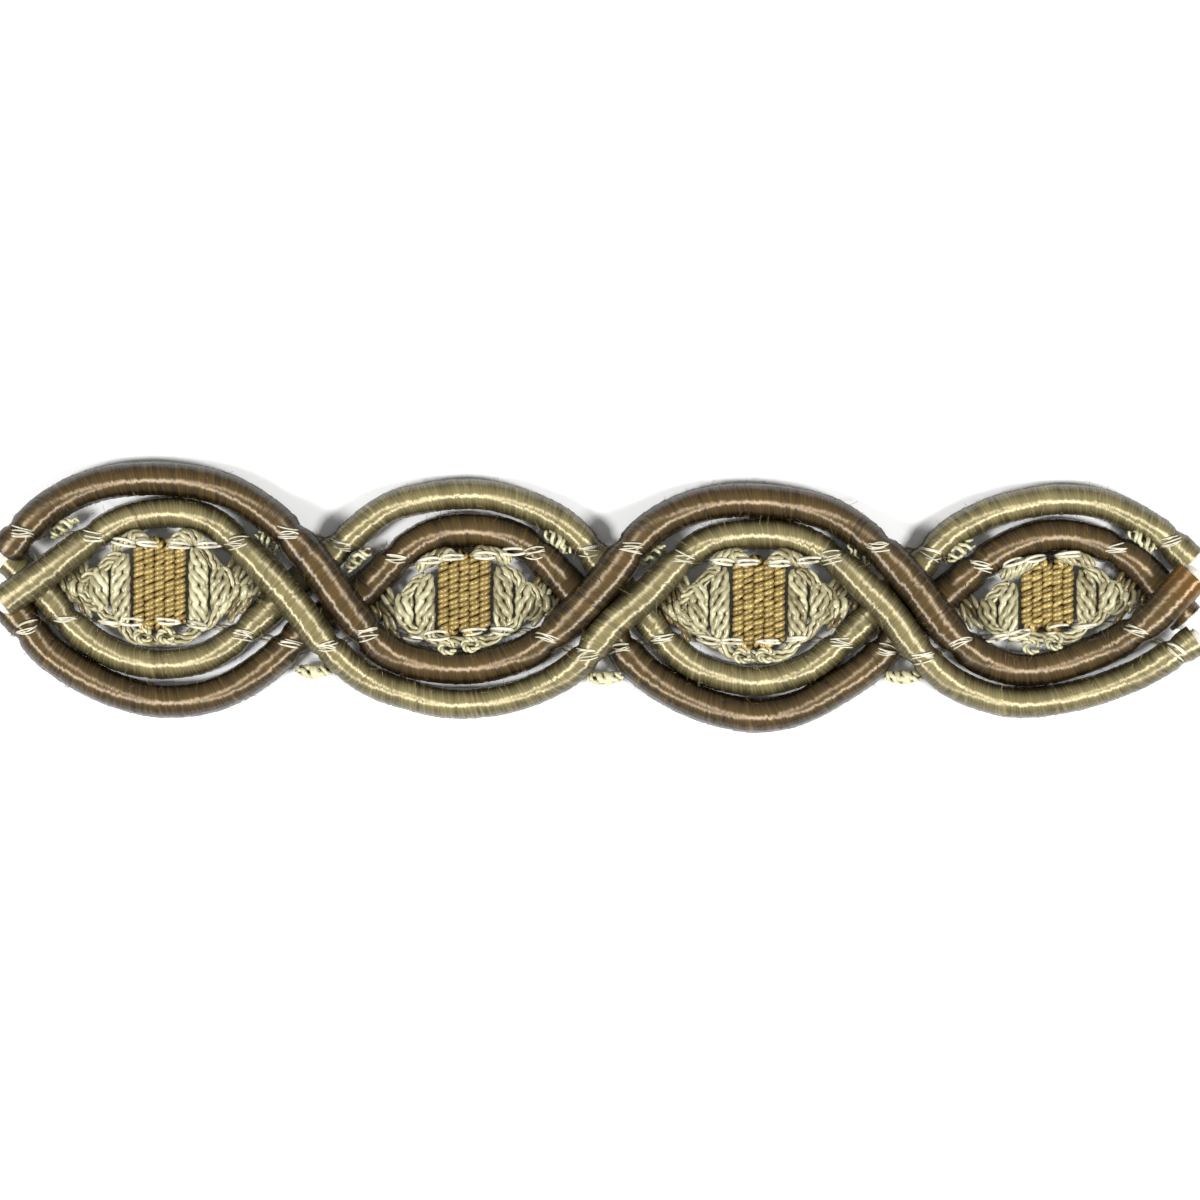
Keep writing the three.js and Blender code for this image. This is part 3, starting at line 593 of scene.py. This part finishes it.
# How high and how low a yarn may reach at x inside an eye, clear of the cords that edge it
def innerLimits(eye, x, halfSpan, yarnHalf):
    spots = x + np.linspace(-1, 1, 5) * halfSpan
    top, _ = edgeAt(eye["top"], spots, -1, yarnClear + yarnHalf)
    bottom, _ = edgeAt(eye["bottom"], spots, 1, yarnClear + yarnHalf)
    return top.min(), bottom.max()


# Places along a line through x, y at the angle turn, and off to its left
def placed(x, y, turn, along, off):
    px = x + along * math.cos(turn) - off * math.sin(turn)
    py = y + along * math.sin(turn) + off * math.cos(turn)
    return px, py


plied = {
    # The waves by which a yarn's twist, a ply's shade and its thickness wander, how far the last two do,
    # and the angle within which a twist starts
    "twistWaves": (4.1, 1.7, 0.9), "shadeWaves": (5.1, 2.3), "thickWaves": (3.7, 1.3, 0.8),
    "shadeWander": 0.15, "thickWander": 0.12, "start": 6,
    # Shares of the yarn's radius where a ply's painted shade ends: out of the crease, and no longer low
    "creaseFrom": 0.45, "creaseRamp": 0.5, "lowFrom": -0.4,
}


# Plies twisted round a yarn's line: ply k stands at line + across reach cos(a) + up reach sin(a), where
# a turns once in each pitch, more or less by uneven, from k's share of a full turn, and the other way where
# twist is negative. Size scales the yarn along its line. A painted shade darkens a ply where it faces the
# yarn's middle, in the crease, and where it lies low
def pliedYarn(line, settings, twist, size, random):
    size = size * np.ones(len(line))
    wide, high, ply = (settings[measure] * size for measure in ("reachWide", "reachHigh", "ply"))
    length = lengthAlong(line)
    across, up = directions(line)
    turned = length + settings["uneven"] * settings["pitch"] * wander(length, plied["twistWaves"], random)
    turning = twist * turned * 2 * math.pi / settings["pitch"] + random.uniform(0, plied["start"])
    outer = (np.maximum(wide, high) + ply)[:, None]
    strands = []
    for k in range(settings["plies"]):
        a = turning + 2 * math.pi * k / settings["plies"]
        strand = line + across * (wide * np.cos(a))[:, None] + up * (high * np.sin(a))[:, None]
        shade = settings["shade"] + random.normal(0, settings["shadeSpread"])
        shade = shade + plied["shadeWander"] * wander(length, plied["shadeWaves"], random)
        thick = ply * (1 + plied["thickWander"] * wander(length, plied["thickWaves"], random))
        part = tube(strand, thick, thick, settings["sides"])
        away = np.linalg.norm(part["points"] - line[:, None], axis=2) / outer
        raised = (part["points"][..., 2] - line[:, None, 2]) / outer
        # Painted shade: darker in the crease where a ply faces the yarn's middle, and where it lies low
        paintedCreaseShade = settings["paintedCreaseShade"] * (1 - smooth((away - plied["creaseFrom"]) / plied["creaseRamp"]))
        low = settings["paintedLowShade"] * (1 - smooth(raised - plied["lowFrom"]))
        part["toneAndPaintedShade"] = np.clip(shade[:, None] - (paintedCreaseShade + low), 0, 1)
        strands.append(part)
    return strands


cream = {
    "radius": 0.88, "plies": 5, "pitch": 6.6, "ply": 0.36, "reachWide": 0.66, "reachHigh": 0.5,
    # The columns' places from the eye's middle, their bow outwards, the shortest one, and how much thinner
    # their ends are
    "columns": (-8.1, -5.95, -3.8, 3.8, 5.95, 8.1), "bow": 0.12, "shortest": 0.4, "tip": 0.35,
    # The level of the yarn's middle, and how far columns rise in their middle and ends and turns lie lower
    "middle": 1.654, "crown": 0.15, "endsLow": 0.2, "turnLow": 0.1,
    # Turns and link: their thickness as a share, how far they go past the chain, and their arch and height
    "turned": 0.62, "past": 1.1, "arch": 0.5, "turn": 0.62, "inset": 0.25,
    "linkBow": 0.15, "linkCorner": 1.3,
    "step": 0.13, "sides": 10, "uneven": 0.06, "seed": 30,
    "shade": 0.6, "shadeSpread": 0.16, "paintedCreaseShade": 0.75, "paintedLowShade": 0.45,
}
turnedRadius = cream["radius"] * cream["turned"]


# How far the cream yarn reaches at x inside an eye
def creamReach(eye, x, halfSpan):
    top, bottom = innerLimits(eye, x, halfSpan, turnedRadius)
    return (min(top, heightOn("chainUpper", x) + cream["past"]),
            max(bottom, heightOn("chainLower", x) - cream["past"]))


# How low the cream yarn's link may lie under the gold block
def linkLevel(eye):
    return innerLimits(eye, eye["x"], gold["columns"] * gold["spacing"] / 2, turnedRadius)[1]


# One stretch of plied cream yarn through points x, y, z, of its full size times scale, and thinner by tip at
# its ends by a fourth power
def creamStretch(points, scale, tip, twist, random):
    line = spacedLine(points, cream["step"])
    size = scale * (1 - tip * np.linspace(-1, 1, len(line)) ** 4)
    addBody(line, cream["radius"] * size, cream["radius"] * size, every=2)
    return pliedYarn(line, cream, twist, size, random)


# Columns on both sides of the gold block, with a turn between neighbours and a link below the block. In each
# pair of columns the plies lean outwards like an ear of wheat, and each turn arches over the chain
def creamYarn(eye, seed):
    random = np.random.default_rng(seed)
    columns = []
    for offset in cream["columns"]:
        x = eye["x"] + offset
        top, bottom = creamReach(eye, x, cream["radius"])
        if top > bottom:
            middle = (top + bottom) / 2
            columns.append((x, max(top - cream["turn"], middle + cream["shortest"] / 2),
                            min(bottom + cream["turn"], middle - cream["shortest"] / 2)))
    half = sum(x < eye["x"] for x, _, _ in columns)
    level = cream["middle"]
    strands = []
    for i, (x, high, low) in enumerate(columns):
        bowed = x + np.sign(x - eye["x"]) * cream["bow"]
        points = [(x, low, level - cream["endsLow"]), (bowed, (low + high) / 2, level + cream["crown"]),
                  (x, high, level - cream["endsLow"])]
        lean = 1 if i == half - 1 or i > half else -1
        strands += creamStretch(points, 1, cream["tip"], lean, random)
    for i, (a, b) in enumerate(zip(columns, columns[1:])):
        if i == half - 1:
            y = linkLevel(eye)
            left, right = a[0] + cream["linkCorner"], b[0] - cream["linkCorner"]
            points = [(a[0], a[2], level), (left, y + cream["linkBow"], level), (eye["x"], y, level),
                      (right, y + cream["linkBow"], level), (b[0], b[2], level)]
            strands += creamStretch(points, cream["turned"], 0, 1, random)
            continue
        for side, endA, endB in ((1, a[1], b[1]), (-1, a[2], b[2])):
            middle = (a[0] + b[0]) / 2
            arch = (endA + endB) / 2 + side * cream["arch"] / (1 + abs(endA - endB))
            limits = creamReach(eye, middle, turnedRadius)
            archY = min(arch, limits[0]) if side > 0 else max(arch, limits[1])
            footLevel = level - cream["turnLow"]
            points = [(a[0], endA - side * cream["inset"], footLevel), (middle, archY, level),
                      (b[0], endB - side * cream["inset"], footLevel)]
            strands += creamStretch(points, cream["turned"], 0, side, random)
    for side in (-1, 1):
        strands += humpYarn(eye, side, random)
        strands += cornerLeaves(eye, side, random)
    for place in ring["places"]:
        strands += ringYarn(eye["x"] + place, random)
    return strands


hump = {
    # Where it starts and ends from the eye's middle, and its height over the chain in plan
    "from": -4.7, "to": -1.0, "foot": -0.15, "rise": 1.15, "points": 7, "span": 0.2,
    # The level of its feet, how much higher its crown is, and how much thinner its feet are
    "level": 2.25, "crown": 0.25, "taper": 0.45, "bodyWide": 0.75, "bodyHigh": 0.65,
    "plies": 5, "pitch": 3.4, "step": 0.1, "sides": 9, "ply": 0.27, "reachWide": 0.5, "reachHigh": 0.42,
    "shade": 0.54, "shadeSpread": 0.12, "paintedCreaseShade": 0.75, "paintedLowShade": 0.35, "uneven": 0.08,
}


# A short arch of the yarn over a top corner of the gold block: half a sine from the inner column to near
# the eye's middle, thinner towards its feet by a third power
def humpYarn(eye, side, random):
    share = np.linspace(0, 1, hump["points"])
    x = eye["x"] - side * (hump["from"] + share * (hump["to"] - hump["from"]))
    limit = np.array([innerLimits(eye, place, hump["span"], hump["reachWide"])[0] for place in x])
    rise = np.sin(math.pi * share)
    y = np.minimum(heightOn("chainUpper", x) + hump["foot"] + hump["rise"] * rise, limit)
    line = spacedLine(np.column_stack([x, y, hump["level"] + hump["crown"] * rise]), hump["step"])
    size = 1 - hump["taper"] * np.abs(np.linspace(-1, 1, len(line))) ** 3
    addBody(line, hump["bodyWide"] * size, hump["bodyHigh"] * size, every=2)
    return pliedYarn(line, hump, side, size, random)


ring = {
    # Places from the eye's middle, half sizes, height below the chain in plan, level, and how much it tilts
    "places": (-1.6, 0.7), "wide": 0.75, "high": 0.55, "below": 1.35, "level": 2.2, "tilt": 0.25,
    # The angles between which it is drawn, and how far they are turned at random
    "from": 0.3, "to": 1.9 * math.pi, "points": 12, "turned": 0.6,
    "plies": 2, "pitch": 1.3, "step": 0.08, "sides": 7, "ply": 0.17, "reachWide": 0.14, "reachHigh": 0.14,
    "shade": 0.85, "shadeSpread": 0.08, "paintedCreaseShade": 0.5, "paintedLowShade": 0.2, "uneven": 0.1,
}


# A small curl of the yarn below the gold block: an almost closed ring
def ringYarn(x, random):
    turned = random.uniform(-ring["turned"], ring["turned"])
    a = turned + np.linspace(ring["from"], ring["to"], ring["points"])
    y = heightOn("chainLower", x) - ring["below"]
    z = ring["level"] - ring["tilt"] * np.sin(a)
    line = np.column_stack([x + ring["wide"] * np.cos(a), y + ring["high"] * np.sin(a), z])
    return pliedYarn(spacedLine(line, ring["step"]), ring, 1, 1, random)


leaf = {
    # The first row's place from the eye's middle, and the spaces between rows and between leaves in a row
    "from": 7.3, "step": 0.58, "gap": 0.95, "span": 0.1, "clear": 0.6,
    # A leaf's length, which is less where the corner is narrow, and how far it may pass the corner's edge
    "length": 2.1, "fit": 1.2, "fitMore": 0.6, "past": 0.15,
    # Its lean, level and place, how they differ, and how much its middle is raised
    "lean": 0.55, "leanSpread": 0.15, "level": 1.4, "levelSpread": 0.12, "shifted": 0.06, "crown": 0.3,
    # The leaves' shade is far darker than the columns': a painted shade for the eye's corners
    "thick": 0.28, "taper": 1.45, "sides": 8, "rings": 12, "shade": 0.15, "shadeSpread": 0.2,
}


# Leaf-shaped ends of plies that fill a corner of the eye: rows of short tubes, thick by the square root of a
# cosine, leaning towards the corner, row after row until the corner closes
def cornerLeaves(eye, side, random):
    leaves = []
    share = np.linspace(-1, 1, leaf["rings"])
    thick = leaf["thick"] * np.sqrt(np.cos(share * leaf["taper"]))
    x = eye["x"] + side * leaf["from"]
    while True:
        top, bottom = innerLimits(eye, x, leaf["span"], leaf["thick"] * leaf["clear"])
        if top < bottom:
            return leaves
        first = (top + bottom) / 2 % leaf["gap"] + math.floor(bottom / leaf["gap"]) * leaf["gap"]
        for middle in np.arange(first, top, leaf["gap"]):
            if middle < bottom:
                continue
            lean = leaf["lean"] + random.normal(0, leaf["leanSpread"])
            along = share * min(leaf["length"], leaf["fit"] * (top - bottom) + leaf["fitMore"]) / 2
            px = x + side * along * math.sin(lean) + random.normal(0, leaf["shifted"])
            py = np.clip(middle + along * math.cos(lean), bottom - leaf["past"], top + leaf["past"])
            pz = leaf["level"] + leaf["crown"] * (1 - share**2) + random.normal(0, leaf["levelSpread"])
            shade = leaf["shade"] + random.normal(0, leaf["shadeSpread"])
            leaves.append(tube(np.column_stack([px, py, pz]), thick, thick, leaf["sides"], toneAndPaintedShade=shade))
        x += side * leaf["step"]


gold = {
    # Columns side by side, how far the block goes past the chains, how much its turns take, and its section
    "columns": 5, "spacing": 1.02, "past": 0.35, "turn": 0.4, "radius": 0.44, "high": 1.6, "middle": 1.46,
    "plies": 2, "pitch": 1.05, "ply": 0.27, "reachWide": 0.36, "reachHigh": 0.5, "uneven": 0.12,
    "step": 0.06, "sides": 8, "shade": 0.58, "shadeSpread": 0.12, "paintedCreaseShade": 0.7, "paintedLowShade": 0.3, "seed": 40,
}


# The block in the middle of an eye: one yarn up and down in close columns, with a turn from each to
# the next
def goldYarn(eye, seed):
    random = np.random.default_rng(seed)
    half = (gold["columns"] - 1) / 2
    limit = innerLimits(eye, eye["x"], half * gold["spacing"] + gold["radius"], gold["radius"])[0]
    top = min(heightOn("chainUpper", eye["x"]) + gold["past"], limit)
    linkTop = linkLevel(eye) + cream["linkBow"] + turnedRadius
    bottom = max(heightOn("chainLower", eye["x"]) - gold["past"], linkTop + gold["radius"])
    places = []
    for i in range(gold["columns"]):
        x = eye["x"] + (i - half) * gold["spacing"]
        column = [(x, top - gold["turn"]), (x, (top + bottom) / 2), (x, bottom + gold["turn"])]
        if i % 2:
            column.reverse()
        places += column
        if i < gold["columns"] - 1:
            places.append((x + gold["spacing"] / 2, top if i % 2 else bottom))
    flat = spacedLine(places, gold["step"])
    line = np.column_stack([flat, np.full(len(flat), gold["middle"])])
    addBody(line, gold["radius"], gold["high"] / 2, every=5)
    return pliedYarn(line, gold, 1, 1, random)


for i, eye in enumerate(eyes):
    creamPiece, goldPiece = creamYarn(eye, cream["seed"] + i), goldYarn(eye, gold["seed"] + i)
    addPiece(f"cream_eye_{i + 1}", creamPiece, "cream_yarn", [f"cream_yarn_{i + 1}"], "cream")
    addPiece(f"gold_eye_{i + 1}", goldPiece, "gold_yarn", [f"gold_yarn_{i + 1}"], "gold")

# Loops of the cream yarn between the cords and at the lower edge

loops = {
    # Points along a loop, how much its middle is raised, and its thickness at the ends
    "points": (-1, -0.6, 0, 0.6, 1), "crown": 0.25, "least": 0.6, "tip": 0.02,
    # Their shade is lighter than the eyes' cream yarn: painted light against the shade they lie in
    "step": 0.07, "sides": 7, "shade": 0.9, "shadeSpread": 0.08, "paintedLowShade": 0.15, "uneven": 0.25,
    "upper": {
        "length": 3.1, "bow": 0.2, "rest": 1.0, "paintedCreaseShade": 0.35, "seed": 50,
        "plies": 2, "pitch": 1.55, "ply": 0.21, "reachWide": 0.5, "reachHigh": 0.5,
    },
    "lower": {
        "length": 3.4, "bow": -0.3, "rest": 0.7, "paintedCreaseShade": 0.6, "seed": 60,
        "plies": 3, "pitch": 2.1, "ply": 0.3, "reachWide": 0.47, "reachHigh": 0.47,
    },
}
# The pairs of cords between which the upper loops lie, outer cord first, and each loop's x and pair
pairs = {"over": ("umberOver", "champagneOver"), "under": ("champagneUnder", "umberUnder")}
upperLoops = [
    (-53.6, "over"), (-33.2, "over"), (-24.2, "under"), (5.3, "over"), (26.0, "over"), (36.2, "under"),
    (-4.3, "under"), (54.2, "under"),
]
upperSolids = 6  # the last two loops have no solid
lowerLoops = [(-28.6, -6.9), (0.5, -7.6), (30.4, -7.5)]


# A short length of plied yarn at x, y with the given slope: bowed and raised by a square law, and thick by
# a sine
def loopYarn(x, y, slope, form, number):
    share = np.array(loops["points"])
    half = form["ply"] + form["reachWide"]
    along, off = share * form["length"] / 2, form["bow"] * (1 - share**2)
    px, py = placed(x, y, math.atan(slope), along, off)
    z = form["rest"] + half + loops["crown"] * (1 - share**2)
    line = spacedLine(np.column_stack([px, py, z]), loops["step"])
    rounding = np.sin(math.pi * np.linspace(loops["tip"], 1 - loops["tip"], len(line)))
    size = loops["least"] + (1 - loops["least"]) * rounding
    addBody(line, half * size, half * size, every=2)
    random = np.random.default_rng(form["seed"] + number)
    return pliedYarn(line, {**loops, **form}, 1, size, random)


for i, (x, pair) in enumerate(upperLoops):
    outer, inner = pairs[pair]
    yA, slopeA = edgeAt(outer, x, -1)
    yB, slopeB = edgeAt(inner, x, 1)
    yarn = loopYarn(x, (yA + yB) / 2, (slopeA + slopeB) / 2, loops["upper"], i)
    nodes = [f"loop_upper_{i + 1}"] if i < upperSolids else []
    addPiece(f"cream_curl_{i + 1}", yarn, "cream_yarn", nodes, "cream")
for i, (x, y) in enumerate(lowerLoops):
    yarn = loopYarn(x, y, 0, loops["lower"], i)
    addPiece(f"cream_edge_loop_{i + 1}", yarn, "cream_yarn", [f"loop_lower_{i + 1}"], "cream")

# Stitches of the two knitted chains

# Over yarn, the stitches stand at these places from an eye's middle
chains = [
    {"piece": "stitches_upper", "node": "chain_upper", "route": "chainUpper", "seed": 71,
     "overYarn": (-6.0, -3.5, -1.15, 2.1, 5.0)},
    {"piece": "stitches_lower", "node": "chain_lower", "route": "chainLower", "seed": 72,
     "overYarn": (-5.2, -2.7, 0.95, 3.8)},
]
stitch = {
    "face": {
        "length": 2.5, "width": 0.5, "strands": 2, "thick": 0.155,
        "drawn": 0.5, "loose": 0.06, "shade": 0.8,
    },
    "tie": {
        "length": 2.3, "width": 0.75, "strands": 5, "thick": 0.075,
        "drawn": 0.2, "loose": 0.15, "shade": 0.65,
    },
    # How steeply a strand may fall, how far it sinks in and dives at its ends, how much thinner its ends
    # are, and how much a painted shade darkens them
    "steep": 1.3, "sink": 0.04, "dive": 0.7, "taper": 0.3, "paintedEndShade": 0.25,
    # How far stitches stay from ties, and how their turn, place, length and shade differ
    "apart": 1.9, "askew": 0.06, "shifted": 0.05, "lengths": (0.85, 1.05), "shadeSpread": 0.12,
    # How far off bodies still count, and the height where there is none
    "near": 3, "bare": 0.35, "sides": 7, "rings": 20,
}


# The height of whatever lies at places in plan: ellipses across every cord and yarn
def topAt(x, y):
    near = np.concatenate(bodies)
    near = near[(near[:, 0] > x.min() - stitch["near"]) & (near[:, 0] < x.max() + stitch["near"])]
    away = np.hypot(x[:, None] - near[:, 0], y[:, None] - near[:, 1]) / near[:, 3]
    top = near[:, 2] + near[:, 4] * np.sqrt(np.clip(1 - away**2, 0, 1))
    return np.where(away < 1, top, stitch["bare"]).max(axis=1)


# A face stitch: strands side by side, drawn together by a square law and diving by an eighth power at both
# ends, that lie on whatever is under them and nowhere fall more steeply than steep. Each is bowed, shifted
# and turned at random by about loose, and is thinner at its ends, where a painted shade darkens it
def faceStitch(x, y, slope, form, random):
    strands = []
    turn = math.atan(slope) + random.normal(0, stitch["askew"])
    share = np.linspace(-1, 1, stitch["rings"])
    thick = form["thick"] * (1 - stitch["taper"] * share**6)
    for place in np.linspace(-1, 1, form["strands"]):
        shifted, bowed, turned, late = random.normal(0, form["loose"], 4)
        along = (share + late) * form["length"] / 2 * random.uniform(*stitch["lengths"])
        off = place * form["width"] / 2 * (1 - form["drawn"] * share**2)
        off = off + shifted + bowed * (1 - share**2) + turned * share
        px, py = placed(x, y, turn, along, off)
        spread = np.hypot(px[:, None] - px, py[:, None] - py)
        z = (topAt(px, py)[None] - stitch["steep"] * spread).max(axis=1) + form["thick"] - stitch["sink"]
        padded = np.pad(z, 1, mode="edge")
        z = np.maximum((padded[:-2] + 2 * z + padded[2:]) / 4 - stitch["dive"] * share**8, form["thick"])
        # Painted shade: the strand darkens towards its ends, where it dives in
        shade = form["shade"] + random.normal(0, stitch["shadeSpread"]) - stitch["paintedEndShade"] * share**4
        strand = np.column_stack([px, py, z])
        strands.append(tube(strand, thick, thick, stitch["sides"], toneAndPaintedShade=np.clip(shade, 0, 1)))
    return strands


link = {
    "step": 1.9, "ends": 1.2, "length": 2.5, "width": 0.7, "narrow": 0.38, "rise": 0.1, "thick": 0.13,
    "askew": 0.04, "rings": 24, "sides": 6, "shade": 0.5,
}


# A back stitch: a flat teardrop link. Towards its front it narrows by narrow times 1 + cos(a), and rises
# over the next link by the square of half of 1 + cos(a)
def backStitch(x, y, slope, random):
    a = np.arange(link["rings"]) * 2 * math.pi / link["rings"]
    along = np.cos(a) * link["length"] / 2
    off = np.sin(a) * (1 - link["narrow"] * (1 + np.cos(a))) * link["width"] / 2
    px, py = placed(x, y, math.atan(slope) + random.normal(0, link["askew"]), along, off)
    z = link["thick"] + link["rise"] * ((1 + np.cos(a)) / 2) ** 2
    line = np.column_stack([px, py, z])
    return tube(line, link["thick"], link["thick"], link["sides"], toneAndPaintedShade=link["shade"], closed=True)


# A chain: a tie over every cord that it meets, face stitches over the yarns between them, and links
# at even steps along its back
def chainStitches(chain):
    random = np.random.default_rng(chain["seed"])
    name = chain["route"]
    plan = plans[name]
    places = [(*place, stitch["tie"]) for row in cordRows for place in crossingsOf(row["route"], name)]
    overYarn = [eye["x"] + off for eye in eyes for off in chain["overYarn"]]
    overYarn = [x for x in overYarn if min(abs(x - tie[0]) for tie in places) > stitch["apart"]]
    places += [(x, float(heightOn(name, x)), stitch["face"]) for x in overYarn]
    slopes = np.gradient(plan[:, 1], plan[:, 0])
    stitches = []
    for x, y, form in sorted(places, key=lambda place: place[0]):
        y += random.normal(0, stitch["shifted"])
        stitches += faceStitch(x, y, np.interp(x, plan[:, 0], slopes), form, random)
    for x in np.arange(plan[0, 0] + link["ends"], plan[-1, 0] - link["ends"], link["step"]):
        slope = np.interp(x, plan[:, 0], slopes)
        stitches.append(backStitch(x, float(heightOn(name, x)), slope, random))
    return stitches


for chain in chains:
    addPiece(chain["piece"], chainStitches(chain), "stitch_thread", [chain["node"]], "thread")

# Floor, light and camera

# Lengths here are in metres, and aim, the height that the camera's distance is counted from, in millimetres
studio = {
    "floor": (0.93, 0.93, 0.92), "floorRough": 0.9, "floorSize": 0.8, "world": 0.28,
    "view": {"across": 0.12, "away": 0.6, "aim": 2.5, "clip": 10},
    "lights": [
        {"name": "light_right", "place": (0.36, -0.13, 0.37), "size": (0.16, 0.12), "power": 3.1},
        {"name": "light_left", "place": (-0.36, -0.13, 0.37), "size": (0.16, 0.12), "power": 2.9},
    ],
}


# The pale surface that the trim lies on
def addFloor():
    half = studio["floorSize"] / 2
    mesh = bpy.data.meshes.new("floor")
    corners = [(-half, -half, 0), (half, -half, 0), (half, half, 0), (-half, half, 0)]
    mesh.from_pydata(corners, [], [(0, 1, 2, 3)])
    floor = bpy.data.objects.new("floor", mesh)
    bpy.context.scene.collection.objects.link(floor)
    material = bpy.data.materials.new("pale_floor")
    material.use_nodes = True
    shader = material.node_tree.nodes["Principled BSDF"]
    shader.inputs["Base Color"].default_value = (*studio["floor"], 1)
    shader.inputs["Roughness"].default_value = studio["floorRough"]
    mesh.materials.append(material)


# A lamp that faces the trim's middle
def addLight(name, place, size, power):
    light = bpy.data.lights.new(name, "AREA")
    light.shape = "RECTANGLE"
    light.size, light.size_y = size
    light.energy = power
    lamp = bpy.data.objects.new(name, light)
    bpy.context.scene.collection.objects.link(lamp)
    lamp.location = place
    lamp.rotation_euler = (-lamp.location).to_track_quat("-Z", "Y").to_euler()


addFloor()
for row in studio["lights"]:
    addLight(**row)
world = bpy.data.worlds.new("studio")
world.use_nodes = True
world.node_tree.nodes["Background"].inputs["Color"].default_value = (1, 1, 1, 1)
world.node_tree.nodes["Background"].inputs["Strength"].default_value = studio["world"]
bpy.context.scene.world = world
bpy.context.scene.view_settings.view_transform = "Standard"

camera = bpy.data.objects.new("camera", bpy.data.cameras.new("camera"))
bpy.context.scene.collection.objects.link(camera)
view = studio["view"]
camera.location = (shift[0] * metres, shift[1] * metres, view["away"] + view["aim"] * metres)
camera.data.lens = camera.data.sensor_width * view["away"] / view["across"]
camera.data.clip_end = view["clip"]
bpy.context.scene.camera = camera
